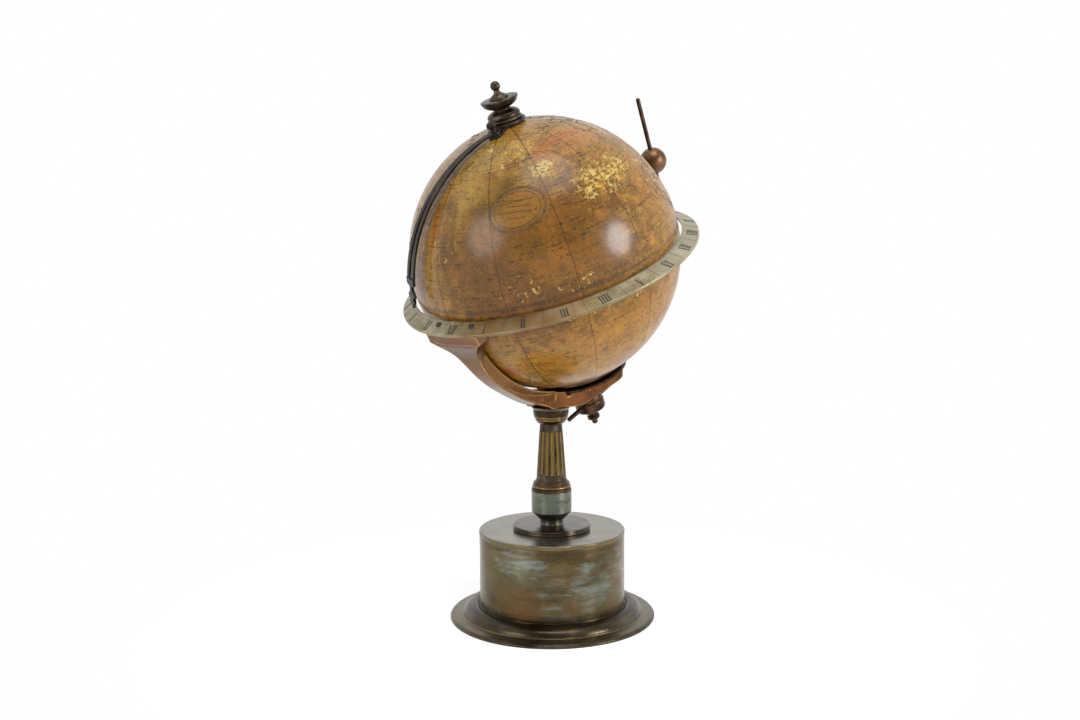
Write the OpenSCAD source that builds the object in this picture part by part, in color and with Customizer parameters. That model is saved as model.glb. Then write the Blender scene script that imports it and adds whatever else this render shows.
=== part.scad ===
// Globe clock: a six inch globe that turns once a day inside a ring of
// twenty-four hours, over a drum base that holds the movement.
// Millimetres, +Z up. The origin is the middle of the foot's underside,
// on the axis of the column.

/* [Globe] */
// Diameter of the globe
globe_d = 152.4; // [148:0.2:156]
// Thickness of its shell
shell_t = 2.4; // [1.6:0.2:3.2]
// Lean of the polar axis from the upright, in degrees
axis_tilt = 23.5; // [22.5:0.5:24.5]
// Place of the globe's centre beside the column's axis
globe_x = -4; // [-5:0.5:-3]
// Height of the globe's centre over the table
globe_z = 210.5; // [206:0.5:216]
// Diameter of the axle
axle_d = 5; // [4.2:0.2:5.6]
// Diameter of the opening at the south pole
south_hole_d = 40; // [36:1:44]
// Width of the dark dish's flange on the globe
dish_rim = 8; // [5:0.5:10]
// Height of the hoop inside the equator
hoop_h = 10; // [6:1:16]

/* [Hour ring] */
// Clear gap between the globe and the ring's inner edge, at the equator
ring_gap = 1.6; // [1.6:0.1:2.8]
// Width of its face, measured square to the axis
ring_w = 8.7; // [7.5:0.1:10]
// Drop of the inner edge below the equator
ring_drop = 4; // [3:0.5:5]
// Fall of the face from its inner to its outer edge
ring_fall = 3.8; // [3:0.2:4.6]
// Thickness of the ring
ring_t = 1.3; // [1:0.1:2]
// Angle of the two ring screws from the middle of the flange
ring_screw_deg = 8.8; // [7:0.2:10]

/* [Cradle] */
// Gap between the globe and the arm
arm_gap = 1.6; // [1.4:0.1:2.2]
// Thickness of the slender part of the arm
arm_t = 5.4; // [4.6:0.1:6.2]
// Width of the slender part of the arm
arm_w = 10.8; // [9:0.2:13]
// Width of the arm's face towards the globe
arm_in_w = 17.2; // [15:0.2:18.4]
// Width of the flange under the ring
flange_w = 37; // [33:1:38]
// Thickness of the tray
tray_t = 6; // [5:0.5:7]
// Width of the tray at its far end
tray_w = 36; // [32:1:40]
// Width of the tray over the column
tray_neck_w = 19; // [17:0.5:21]
// Reach of the tray past the column's axis
tray_reach = 47; // [44:1:50]

/* [Toothed wheel] */
// Teeth of the wheel under the globe
wheel_n = 168; // [168:24:168]
// Thickness of its rim
wheel_t = 1.4; // [1:0.1:1.8]
// Diameter of its hub
wheel_hub_d = 12; // [10:0.5:14]

/* [Knob] */
// Largest diameter of the south knob
knob_d = 17.8; // [16:0.2:19]
// Length of the bar through the knob
bar_l = 42.6; // [38:0.2:50]
// Thickness of the bar
bar_d = 2.7; // [2:0.1:3]

/* [Finial] */
// Diameter of the ringed bun
bun_d = 19.1; // [16:0.1:20]
// Diameter of the urn's rim
urn_d = 20.7; // [18:0.1:22]
// Diameter of the small ball on the cap
cap_ball_d = 5.3; // [4:0.1:6]

/* [Hand] */
// Thickness of the hand
hand_t = 1.2; // [0.8:0.1:1.4]
// Width of each of its two prongs
prong_w = 2.6; // [1.8:0.1:3]
// Diameter of the disc at the pole
plate_d = 21.8; // [20:0.2:24]
// Diameter of the thumb screw's head
thumb_d = 5.6; // [4.6:0.2:7]

/* [Marker] */
// Diameter of the ball at the edge of the ring
marker_d = 15.8; // [12:0.2:16]
// Thickness of its post
post_d = 2.5; // [2:0.1:3.2]
// Height of the post over the equator
post_top = 59; // [50:1:66]

/* [Column] */
// Diameter of the shaft at its foot
shaft_low_d = 17.2; // [16:0.2:18.4]
// Diameter of the shaft under the capital
shaft_top_d = 12.8; // [12.4:0.2:14]
// Diameter of the capital
capital_d = 21; // [19:0.5:23]
// Diameter of the smooth collar
collar_d = 23.2; // [22:0.2:24.6]
// Diameter of the disc on the lid
socle_d = 44.8; // [38:0.2:52]
// Depth of the flutes
flute_depth = 0.9; // [0.5:0.1:1.1]
// Diameter of the tie tube in the column
tie_d = 8; // [7:0.2:8.6]

/* [Base] */
// Diameter of the drum
drum_d = 84.2; // [83:0.2:89]
// Wall of the drum
drum_t = 1.4; // [1:0.1:1.8]
// Height of the lid's upper face
drum_top = 51.5; // [51:0.5:56]
// Diameter of the foot
foot_d = 119; // [112:1:126]
// Height of the foot, where the drum stands on it
foot_h = 8.2; // [7.4:0.2:9.4]

/* [Movement] */
// Room between the plates and the drum's wall
plate_room = 4.7; // [4.1:0.1:5.6]
// Thickness of the plates
plates_t = 1.2; // [1:0.1:1.6]
// Room between the plates
plates_gap = 20.8; // [20.8:0.2:22]
// Diameter of the long shaft up the column
drive_d = 1.9; // [1.5:0.1:2.2]
// Radius of the balance's rim
balance_r = 8; // [6.5:0.1:8.4]

/* [Hidden] */
$fn = 96;
// clearance of a shaft in its hole, and of faces that pass each other
run = 0.05;
seam = 0.1;

globe_r = globe_d / 2;
axle_r = axle_d / 2;
// heights along the polar axis, from the globe's centre, north up
tray_top = -(globe_r + 4.8);
tray_low = tray_top - tray_t;
pad_z = globe_z - globe_r - 11.3;

// the hour ring
ring_ri = globe_r + ring_gap;
ring_ro = ring_ri + ring_w;
ring_slope = atan(ring_fall / ring_w);
function ring_h(r) = -ring_drop - (r - ring_ri) * ring_fall / ring_w;

// the cradle
arm_ri = globe_r + arm_gap;
flange_ro = ring_ro - 0.7;
flange_low = ring_h(ring_ro) - ring_t - 5;
flange_deg = asin(flange_w / 2 / flange_ro);
ring_screw_r = ring_ri + 3.1;
ring_screw_rad = 0.8;
function side(r, a) = [globe_x - r * sin(a + axis_tilt), globe_z + r * cos(a + axis_tilt)];
function slope_z(h, x) = globe_z + (h + (x - globe_x) * sin(axis_tilt)) / cos(axis_tilt);
slope_x = globe_x + ((pad_z - globe_z) * cos(axis_tilt) - tray_low) / sin(axis_tilt);

// the toothed wheel and its pinion share one apex, where the axes cross
pinion_n = 7;
apex_h = globe_x / sin(axis_tilt);
apex_z = globe_z + apex_h * cos(axis_tilt);
wheel_top = -(globe_r - 1.2);
wheel_low = wheel_top - wheel_t;
wheel_cone = atan(wheel_n * sin(axis_tilt) / (pinion_n + wheel_n * cos(axis_tilt)));
pinion_cone = axis_tilt - wheel_cone;
cone_top = (apex_h - wheel_top) / cos(wheel_cone);
cone_low = (apex_h - wheel_low) / cos(wheel_cone);
wheel_pitch_r = (cone_top + cone_low) / 2 * sin(wheel_cone);
wheel_m = 2 * wheel_pitch_r / wheel_n;
wheel_tip_r = cone_low * sin(wheel_cone) + wheel_m;
pinion_z0 = apex_z - cone_low * cos(pinion_cone) - 0.6;
pinion_z1 = apex_z - cone_top * cos(pinion_cone) + 0.6;
hub_low = tray_top + 1.5;

// the south dish
dish_t = 1.2;
dish_low = wheel_top + 0.6;
dish_hole_r = south_hole_d / 2;

// the knob, heights along the polar axis
knob_top = tray_low - 0.3;
knob_low = knob_top - 16.2;
bar_h = knob_top - 9.7;
bar_az = 1;

// the finial and the hand plate
plate_low = globe_r + 0.4;
plate_top = plate_low + 1.4;
bun_low = plate_top + seam;
bun_top = bun_low + 4;
urn_top = bun_top + 8.2;
cap_ball_h = urn_top + 7;
arm_in = globe_r + 0.7;
arm_out = arm_in + 1;
root_in = arm_out + seam;
root_r = 3.5;

// the hand: place of the screw, swing of the hand, and its arc
screw_az = 199;
screw_polar = 12.5;
hand_swing = -42;
hand_r = globe_r + 3.8;
hand_dx = 2.4;
hand_dz = root_in - hand_r;
prong_half = 2.15;
block_deg = 65;
tail_deg = 71;
screw_r = 1.2;

// the marker
marker_az = -14.5;
marker_r = ring_ro + 3.5;
marker_h = 20.7;
clip_deg = 4;

// the base and the column
foot_r = foot_d / 2;
drum_r = drum_d / 2;
drum_in = drum_r - drum_t;
lid_t = 2.5;
lid_in = drum_top - 3;
spigot_r = drum_in - 0.1;
spigot_w = 2.6;
cover_r = drum_r + 7.5;
roll_r = drum_r + 9.9;
brim_h = 2.9;
cover_t = 1.6;
cover_screw_r = drum_r + 2.5;
socle_top = drum_top + 2.9;
collar_r = collar_d / 2;
collar_low = socle_top + 7.4;
collar_top = socle_top + 19.5;
shaft_z0 = collar_top + 7.2;
shaft_z1 = pad_z - 10;
flute_n = 14;
flute_turn = 9.5;
flute_r = 1.35;
flute_z0 = shaft_z0 + 3.4;
flute_z1 = shaft_z1 - 5.1;
tie_r = tie_d / 2;
tie_in = 2.4;
tie_top = pad_z + 4;
nut_h = 4;

// the movement, heights over the table
low_z = drum_top - 37.5;
up_z = low_z + plates_t + plates_gap;
up_top = up_z + plates_t;
plates_r = drum_in - plate_room;
pillar_r = plates_r - 4;
pillar_rad = 2.5;
post_at = plates_r - 4;
post_rad = 2;
drive_r = drive_d / 2;
pivot_r = 0.4;
arbor_r = 0.75;
function at(r, a) = [r * cos(a), r * sin(a)];

// modules of the train, and the places of its arbors
barrel_n = 80;
barrel_m = 0.4;
centre_n = 80;
centre_m = 0.32;
third_n = 75;
third_m = 0.28;
fourth_n = 80;
fourth_m = 0.24;
leaf_n = 10;
escape_leaf_n = 8;
barrel_az = 180;
third_az = -30;
fourth_az = 60;
escape_az = 110;
lever_az = 165;
barrel_at = at((barrel_n + leaf_n) * barrel_m / 2, barrel_az);
third_at = at((centre_n + leaf_n) * centre_m / 2, third_az);
fourth_at = third_at + at((third_n + leaf_n) * third_m / 2, fourth_az);
escape_at = fourth_at + at((fourth_n + escape_leaf_n) * fourth_m / 2, escape_az);
escape_r = 5.5;
lever_at = escape_at + at(escape_r / cos(30), lever_az);
staff_at = escape_at + at(15, lever_az);
escape_tooth = 141;
lever_hub_r = 0.75;
pallet_gap = 0.25;

// heights of the wheels over the lower plate
barrel_z = low_z + plates_t + 1.8;
barrel_gear_t = 1.6;
centre_z = up_z - 4.5;
third_z = low_z + plates_t + 5.8;
fourth_z = low_z + plates_t + 10.8;
escape_z = up_z - 2.1;
gear_t = 1;
balance_z = up_top + 1.8;
balance_t = 1.2;
hair_z = balance_z + balance_t + 0.6;
cock_z = hair_z + 1.2;
cock_t = 1.4;
cock_foot = 12.8;
cock_az = 90;
barrel_r = 15;
barrel_h = 11;
core_r = 4;
wind_r = 2;
ratchet_n = 24;
ratchet_r = 7.2;
ratchet_in = 6.1;
ratchet_t = 1.6;
ratchet_z = low_z - 0.6 - ratchet_t;
click_az = 60;
click_at = barrel_at + at(10.5, click_az);

// shapes that repeat

module polar() translate([globe_x, 0, globe_z]) rotate([0, -axis_tilt, 0]) children();

module rod(r, z0, z1) translate([0, 0, z0]) cylinder(r = r, h = z1 - z0);

module tube(ro, ri, z0, z1) {
  difference() {
    rod(ro, z0, z1);
    rod(ri, z0 - 1, z1 + 1);
  }
}

module lathe(p) rotate_extrude() polygon(p);

// a smooth line through the points p, with n steps to each
function bend(a, b, c, d, t) =
  0.5 * (2 * b + (c - a) * t + (2 * a - 5 * b + 4 * c - d) * t * t + (3 * b - a - 3 * c + d) * t * t * t);
function smooth(p, n = 4) = concat(
  [for (i = [0 : len(p) - 2]) for (j = [0 : n - 1])
    bend(p[max(i - 1, 0)], p[i], p[i + 1], p[min(i + 2, len(p) - 1)], j / n)],
  [p[len(p) - 1]]);
function back(p) = [for (i = [len(p) - 1 : -1 : 0]) p[i]];
function mirrored(p) = [for (q = p) [-q[0], q[1]]];

// tooth forms: distance from the pitch circle in modules, and half the
// thickness there as a share of the pitch
WHEEL_TOOTH = [[-1.25, 0.24], [0, 0.2], [0.55, 0.15], [0.9, 0.07]];
LEAF = [[-1.3, 0.13], [0, 0.15], [0.35, 0.13], [0.6, 0.06]];
function tooth(n, m, form, i, s) =
  [for (p = form) at(n * m / 2 + p[0] * m, (i + s * p[1]) * 360 / n)];
function toothed(n, m, form) =
  [for (i = [0 : n - 1]) each concat(tooth(n, m, form, i, -1), back(tooth(n, m, form, i, 1)))];

// a pinion whose gap faces the direction a
module pinion(n, m, a, z0, z1)
  translate([0, 0, z0]) rotate([0, 0, a + 180 / n]) linear_extrude(z1 - z0) polygon(toothed(n, m, LEAF));

// a crossed wheel with a tooth in the direction a
module crossed_wheel(n, m, a, z, t, hub_r, bore, arms = 4) {
  rim_r = n * m / 2 - 1.25 * m - 1.1;
  translate([0, 0, z]) linear_extrude(t) difference() {
    rotate([0, 0, a]) polygon(toothed(n, m, WHEEL_TOOTH));
    difference() {
      circle(rim_r);
      circle(hub_r + 1);
      for (k = [0 : arms - 1]) rotate([0, 0, k * 360 / arms + 20]) translate([0, -0.6]) square([rim_r + 1, 1.2]);
    }
    circle(bore);
  }
}

// an arbor between the plates, with its two pivots
module arbor(r) {
  rod(r, low_z + plates_t + 0.1, up_z - 0.1);
  rod(pivot_r, low_z + 0.1, up_top - 0.1);
}

// a spiral strip of thickness t from r0 to r1
module spiral(r0, r1, turns, t, z0, z1) {
  steps = turns * 20;
  function arm_at(i, d) = at(r0 + (r1 - r0) * i / steps + d, i * 18);
  translate([0, 0, z0]) linear_extrude(z1 - z0) polygon(concat(
    [for (i = [0 : steps]) arm_at(i, 0)], [for (i = [steps : -1 : 0]) arm_at(i, t)]));
}

module ring_screw_places() {
  for (s = [-1, 1]) polar() rotate([0, 0, 180 + s * ring_screw_deg])
    translate([ring_screw_r, 0, ring_h(ring_screw_r)]) rotate([0, ring_slope, 0]) children();
}

module around(n, r, a = 0) {
  for (k = [0 : n - 1]) rotate([0, 0, a + k * 360 / n]) translate([r, 0, 0]) children();
}

// the stand

module foot() color("#5b5440") difference() {
  lathe(concat(
    [[foot_r - 0.5, 0], [foot_r, 0.5], [foot_r, 1.3], [foot_r - 0.4, 1.8], [foot_r - 0.9, 2], [foot_r - 1.2, 2.3],
      [roll_r + 0.6, brim_h], [roll_r + 0.1, brim_h + 0.3]],
    smooth([[roll_r, brim_h + 0.5], [roll_r - 0.3, foot_h - 3.7], [roll_r - 1.9, foot_h - 1.5],
      [drum_r + 5.1, foot_h - 0.1], [drum_r + 2.8, foot_h + 0.4], [drum_r + 1.2, foot_h + 0.1]], 5),
    [[drum_r + 0.5, foot_h - 0.5], [drum_r, foot_h - 0.5], [drum_r, foot_h], [spigot_r, foot_h],
      [spigot_r, foot_h + 3], [spigot_r - spigot_w, foot_h + 3], [spigot_r - spigot_w, cover_t],
      [cover_r + 0.2, cover_t], [cover_r + 0.2, 0]]));
  around(3, cover_screw_r, 30) rod(1.1, 0, cover_t + 5);
}

module drum_shell() color("#6b5f45") tube(drum_r, drum_in, foot_h, drum_top - lid_t);

module drum_lid() color("#8d8a78") difference() {
  lathe([[tie_r, drum_top], [drum_r - 0.4, drum_top], [drum_r + 0.2, drum_top - 0.6], [drum_r + 0.2, drum_top - 1.9],
    [drum_r - 0.1, drum_top - lid_t], [spigot_r, drum_top - lid_t], [spigot_r, drum_top - lid_t - 3],
    [spigot_r - spigot_w, drum_top - lid_t - 3], [spigot_r - spigot_w, lid_in], [tie_r, lid_in]]);
  around(3, post_at) rod(1.2, lid_in - 1, lid_in + 2);
}

module bottom_cover() color("#8c7a4c") difference() {
  rod(cover_r, 0, cover_t);
  around(3, cover_screw_r, 30) {
    rod(1.1, -1, cover_t + 1);
    translate([0, 0, -0.01]) cylinder(r1 = 2.41, r2 = 1.1, h = 1.31);
  }
  translate(barrel_at) rod(4, -1, cover_t + 1);
}

module cover_screws() color("#55504a") around(3, cover_screw_r, 30) difference() {
  union() {
    translate([0, 0, 0.15]) cylinder(r1 = 2.25, r2 = 1.1, h = 1.15);
    rod(1.1, 1.2, cover_t + 5);
  }
  translate([-3, -0.25, 0]) cube([6, 0.5, 0.6]);
}

module socle() color("#4c4636") lathe([[tie_r, drum_top], [socle_d / 2 - 0.4, drum_top], [socle_d / 2, drum_top + 0.4],
  [socle_d / 2, drum_top + 0.9], [socle_d / 2 - 0.8, drum_top + 1.1], [socle_d / 2 - 0.8, drum_top + 1.6],
  [socle_d / 2, drum_top + 1.8], [socle_d / 2, socle_top - 0.4], [socle_d / 2 - 0.5, socle_top], [tie_r, socle_top]]);

module collar() color("#6f8474") lathe([[tie_r, socle_top], [collar_r - 4.2, socle_top],
  [collar_r - 4.8, socle_top + 0.5], [collar_r - 5, socle_top + 1.2], [collar_r - 5, collar_low - 4.7],
  [collar_r - 4.5, collar_low - 4.5], [collar_r - 0.3, collar_low - 0.3], [collar_r, collar_low + 0.2],
  [collar_r, collar_top], [tie_r, collar_top]]);

module column_shaft() {
  r0 = shaft_low_d / 2;
  r1 = shaft_top_d / 2;
  lean = atan((r0 - r1) / (shaft_z1 - shaft_z0));
  flute_at = r0 - (flute_z0 - shaft_z0) * tan(lean) + flute_r - flute_depth;
  flute_l = (flute_z1 - flute_z0) / cos(lean);
  color("#7c6a3e") difference() {
    lathe(concat(
      [[tie_r, collar_top], [collar_r - 0.3, collar_top], [collar_r, collar_top + 0.3], [collar_r, collar_top + 1.1],
        [collar_r - 0.3, collar_top + 1.5], [collar_r - 0.9, collar_top + 1.6]],
      smooth([[collar_r - 0.8, collar_top + 1.8], [collar_r - 0.35, collar_top + 2.7],
        [collar_r - 0.9, collar_top + 3.6]], 4),
      [[collar_r - 1.4, collar_top + 3.75]],
      smooth([[collar_r - 1.2, collar_top + 3.9], [collar_r - 1, collar_top + 4.6],
        [collar_r - 1.5, collar_top + 5.3]], 4),
      [[collar_r - 2, collar_top + 5.4]],
      smooth([[collar_r - 2, collar_top + 5.6], [r0 + 0.5, collar_top + 6.3], [r0, shaft_z0]], 3),
      [[r1, shaft_z1], [tie_r, shaft_z1]]));
    for (k = [0 : flute_n - 1]) rotate([0, 0, (k + 0.5) * 360 / flute_n + flute_turn]) translate([flute_at, 0, flute_z0])
      rotate([0, -lean, 0]) {
        cylinder(r = flute_r, h = flute_l);
        sphere(flute_r);
        translate([0, 0, flute_l]) sphere(flute_r);
      }
  }
}

module capital() color("#6a5a3c") {
  r = capital_d / 2;
  lathe(concat([[tie_r, shaft_z1]],
    smooth([[shaft_top_d / 2 + 0.3, shaft_z1], [r - 3, shaft_z1 + 0.5], [r - 1.9, shaft_z1 + 1.6]], 3),
    [[r - 1.5, shaft_z1 + 2.2], [r - 1.3, shaft_z1 + 2.7], [r - 1.7, shaft_z1 + 2.9], [r - 1.7, shaft_z1 + 3.4],
      [r - 0.9, shaft_z1 + 3.6], [r - 0.7, shaft_z1 + 4.1], [r - 1, shaft_z1 + 4.4]],
    smooth([[r - 0.7, shaft_z1 + 4.6], [r - 0.3, shaft_z1 + 6], [r - 0.25, shaft_z1 + 7.6]], 3),
    [[r - 0.6, shaft_z1 + 7.8], [r - 0.6, shaft_z1 + 8.1], [r - 0.2, shaft_z1 + 8.2], [r - 0.1, shaft_z1 + 8.6],
      [r + 0.2, shaft_z1 + 9], [r + 0.7, pad_z - 0.3], [r + 0.5, pad_z], [tie_r, pad_z]]));
}

module column_tube() color("#8f8768") tube(tie_r, tie_in, lid_in - nut_h - 0.6, tie_top);

module tube_nut() color("#77705a") difference() {
  translate([0, 0, lid_in - nut_h]) cylinder(r = 7.4, h = nut_h, $fn = 6);
  rod(tie_r, 0, drum_top);
}

module shaft_bushes() color("#b8933f") {
  tube(tie_in, drive_r + run, lid_in - nut_h - 0.6, lid_in + 1);
  tube(tie_in, drive_r + run, tie_top - 5, tie_top);
}

module arm_outline() {
  inner = [for (a = [96 : 6 : 150]) side(arm_ri, a)];
  outer = smooth([for (q = [[96, 2.2], [99.8, 2.2], [101.5, 1.8], [104, 0.6], [108, -0.6], [112, -0.6],
    [118, -0.2], [125, 0], [132, 0.1], [139, 0.8], [146, 2], [152, 3.4]]) side(arm_ri + arm_t + q[1], q[0])], 4);
  polygon(concat(inner,
    [side(arm_ri + 0.7, 158), side(arm_ri + 1.6, 165), side(-tray_top / cos(8), 172)],
    [[tray_reach + 2, slope_z(tray_top, tray_reach + 2)], [tray_reach + 2, slope_z(tray_low + 3, tray_reach + 2)],
      [tray_reach - 5.5, slope_z(tray_low, tray_reach - 5.5)]],
    [[slope_x, pad_z], [side(arm_ri + arm_t + 3.4, 152)[0] + 1.4, pad_z]],
    back(outer)));
}

// half widths of the arm against the height along the polar axis
function arm_edge() = smooth([[tray_neck_w / 2, -globe_r - 8], [tray_neck_w / 2, -globe_r + 0.2],
  [tray_neck_w / 2 - 1.5, -globe_r + 4.6], [arm_w / 2 + 1.2, -globe_r + 9.2], [arm_w / 2 + 0.4, -globe_r + 14.2],
  [arm_w / 2, -56], [arm_w / 2, -44], [arm_w / 2 + 0.5, -36], [arm_w / 2 + 1.6, -30], [arm_w / 2 + 3.3, -24.4],
  [flange_w / 2 - 7.4, -20.2], [flange_w / 2 - 4.4, -17], [flange_w / 2 - 1.4, -14.8],
  [flange_w / 2, -14], [flange_w / 2, -12], [flange_w / 2, -6]], 3);

// the part of the arm that widens towards the globe, swept about the globe's centre
module arm_lining() translate([globe_x, 0, globe_z]) rotate([90, 0, 0]) rotate([0, 0, 90 + axis_tilt + 99])
  rotate_extrude(angle = 57) polygon([[arm_ri - 0.15, -arm_in_w / 2], [arm_ri + arm_t - 1.2, -arm_w / 2 + 0.2],
    [arm_ri + arm_t - 1.2, arm_w / 2 - 0.2], [arm_ri - 0.15, arm_in_w / 2]]);

module cradle() color("#a9653a") difference() {
  union() {
    intersection() {
      translate([0, 50, 0]) rotate([90, 0, 0]) linear_extrude(100) arm_outline();
      union() {
        intersection() {
          polar() rotate([90, 0, -90]) linear_extrude(110) polygon(concat(arm_edge(), back(mirrored(arm_edge()))));
          translate([-100, -50, 0]) cube([94.1, 100, globe_z]);
        }
        linear_extrude(globe_z) polygon([[-6, tray_neck_w / 2], [tray_reach - 3, tray_w / 2],
          [tray_reach - 0.8, tray_w / 3], [tray_reach, 0], [tray_reach - 0.8, -tray_w / 3],
          [tray_reach - 3, -tray_w / 2], [-6, -tray_neck_w / 2]]);
      }
      polar() translate([0, 0, flange_low - 200]) cylinder(r = 300, h = 200 + ring_h(ring_ro) - ring_t - flange_low);
    }
    polar() rotate([0, 0, 180 - flange_deg]) rotate_extrude(angle = 2 * flange_deg) polygon([
      [arm_ri + 0.2, ring_h(arm_ri + 0.2) - ring_t], [flange_ro, ring_h(flange_ro) - ring_t],
      [flange_ro, flange_low], [arm_ri + 0.2, flange_low]]);
    arm_lining();
  }
  polar() rod(wheel_tip_r + 1, wheel_low - 0.8, wheel_top + 8);
  polar() rod(4, tray_low - 5, tray_top + 5);
  rod(tie_r, pad_z - 1, tie_top);
  rod(2.3, pad_z, pad_z + 14);
  ring_screw_places() rod(ring_screw_rad, -6, 2);
}

module hour_ring() color("#a89a5c") difference() {
  polar() lathe([[ring_ri, ring_h(ring_ri)], [ring_ro, ring_h(ring_ro)], [ring_ro, ring_h(ring_ro) - ring_t],
    [ring_ri, ring_h(ring_ri) - ring_t]]);
  ring_screw_places() rod(ring_screw_rad, -6, 2);
}

module ring_screws() color("#6b5d38") ring_screw_places() difference() {
  union() {
    lathe([[0, 0], [1.7, 0], [1.7, 0.3], [1.2, 0.8], [0, 0.9]]);
    rod(ring_screw_rad, -5, 0.1);
  }
  translate([-3, -0.2, 0.5]) cube([6, 0.4, 1]);
}

module pole_bush() color("#8a7440") polar() union() {
  tube(4, axle_r + run, tray_low, tray_top);
  tube(6, axle_r + run, tray_top, hub_low - seam);
}

// the globe

module globe_half(s) {
  difference() {
    sphere(globe_r);
    sphere(globe_r - shell_t);
    translate([-100, -100, s > 0 ? -200 : 0]) cube(200);
    if (s > 0) rod(axle_r, 0, 100);
    if (s < 0) rod(dish_hole_r, -100, 0);
  }
}

module globe_north() color("#b5873c") polar() globe_half(1);

module globe_south() color("#ad7f38") polar() globe_half(-1);

module joining_hoop() color("#c9b48a") {
  ro = sqrt(pow(globe_r - shell_t, 2) - pow(hoop_h / 2, 2)) - 0.02;
  polar() tube(ro, ro - 2, -hoop_h / 2, hoop_h / 2);
}

module globe_axle() color("#6d6a63") polar() difference() {
  union() {
    rod(axle_r, knob_low, bun_top + 2.4);
    rod(1.4, knob_low - 3, knob_low);
  }
  rotate([0, 0, bar_az]) translate([0, 0, bar_h]) rotate([0, 90, 0]) translate([0, 0, -10]) cylinder(r = bar_d / 2, h = 20);
}

module north_collar() color("#7d776a") polar() {
  cap_r = globe_r - shell_t;
  difference() {
    union() {
      intersection() {
        sphere(cap_r);
        rod(10, cap_r - 3, cap_r + 1);
      }
      rod(5, cap_r - 9, cap_r - 2.9);
    }
    rod(axle_r, 0, 100);
  }
}

module south_dish() color("#3b3530") polar() rotate_extrude() {
  difference() {
    intersection() {
      translate([dish_hole_r - 0.1, -100]) square([dish_rim, 60]);
      circle(globe_r + dish_t);
    }
    circle(globe_r);
  }
  translate([axle_r, dish_low]) square([dish_hole_r - axle_r, dish_t]);
  translate([axle_r, dish_low]) square([3.5, 9]);
}

module globe_wheel() color("#37322d") {
  pitch = 2 * wheel_pitch_r * PI / wheel_n;
  slot = concat([for (p = WHEEL_TOOTH) [p[0] * wheel_m, (0.5 - p[1]) * pitch]], [[1.6 * wheel_m, 0.46 * pitch]]);
  polar() difference() {
    union() {
      lathe([[axle_r + run, wheel_low], [cone_low * sin(wheel_cone) + 0.9 * wheel_m, wheel_low],
        [cone_top * sin(wheel_cone) + 0.9 * wheel_m, wheel_top], [axle_r + run, wheel_top]]);
      tube(wheel_hub_d / 2, axle_r + run, hub_low, wheel_top);
    }
    for (k = [0 : wheel_n - 1]) rotate([0, 0, 180 + (k + 0.5) * 360 / wheel_n]) translate([0, 0, apex_h])
      rotate([0, 180 - wheel_cone, 0]) translate([0, 0, cone_top - 1])
        linear_extrude(wheel_t / cos(wheel_cone) + 2)
          polygon(concat([for (p = slot) [-p[0], p[1]]], back([for (p = slot) [-p[0], -p[1]]])));
    for (k = [0 : 4]) rotate([0, 0, k * 72 + 20]) translate([15.5, 0, 0]) rod(5.2, wheel_low - 1, wheel_top + 1);
  }
}

module clutch_spring() color("#8f8a7e") polar() lathe([[axle_r + 0.5, dish_low - 0.27], [8, wheel_top + 0.02],
  [8, wheel_top + 0.27], [axle_r + 0.5, dish_low - 0.02]]);

module south_knob() color("#403932") polar() difference() {
  r = knob_d / 2;
  lathe(concat([[axle_r, knob_top], [4.2, knob_top], [4.4, knob_top - 0.8], [3.9, knob_top - 1.4], [3.9, knob_top - 2]],
    smooth([[4.6, knob_top - 2.5], [r - 3, knob_top - 3.2], [r - 0.9, knob_top - 4.2], [r - 0.3, knob_top - 5.4]], 3),
    [[r - 0.3, knob_top - 6.7], [r - 0.8, knob_top - 7.1], [r - 0.8, knob_top - 7.5], [r - 0.2, knob_top - 7.9],
      [r, knob_top - 8.4], [r, knob_top - 13.1], [r - 0.4, knob_top - 13.6], [r - 4.5, knob_low + 0.3],
      [r - 5, knob_low], [axle_r, knob_low]]));
  rotate([0, 0, bar_az]) translate([-20, 0, bar_h]) rotate([0, 90, 0]) cylinder(r = bar_d / 2, h = 40);
}

module knob_nut() color("#4a423a") polar() difference() {
  union() {
    lathe([[0, knob_low], [3, knob_low], [2.8, knob_low - 1.6], [3.3, knob_low - 1.9], [3.75, knob_low - 2.4],
      [3.75, knob_low - 3.9], [3.2, knob_low - 4.4], [1.2, knob_low - 4.5], [1.2, knob_low - 5.4], [0, knob_low - 5.4]]);
    translate([0, 0, knob_low - 6.4]) sphere(1.8);
  }
  rod(1.4, knob_low - 3, knob_low + 1);
}

module tommy_bar() color("#4b443c") polar() rotate([0, 0, bar_az]) translate([0, 0, bar_h]) rotate([0, 90, 0])
  lathe([[0, -bar_l / 2], [bar_d / 2 - 0.3, -bar_l / 2], [bar_d / 2, -bar_l / 2 + 0.4], [bar_d / 2, bar_l / 2 - 0.4],
    [bar_d / 2 - 0.3, bar_l / 2], [0, bar_l / 2]]);

module finial_bun() color("#3c342c") {
  r = bun_d / 2;
  polar() lathe(concat([[axle_r, bun_low], [r - 1.4, bun_low]],
    smooth([[r - 0.6, bun_low + 0.5], [r, bun_low + 1.3], [r - 0.2, bun_low + 1.9]], 3),
    [[r - 0.6, bun_low + 2]],
    smooth([[r - 0.4, bun_low + 2.2], [r - 0.9, bun_low + 2.9], [r - 1.9, bun_low + 3.5]], 3),
    [[r - 2.6, bun_low + 3.6], [r - 3.2, bun_top], [axle_r, bun_top]]));
}

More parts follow.
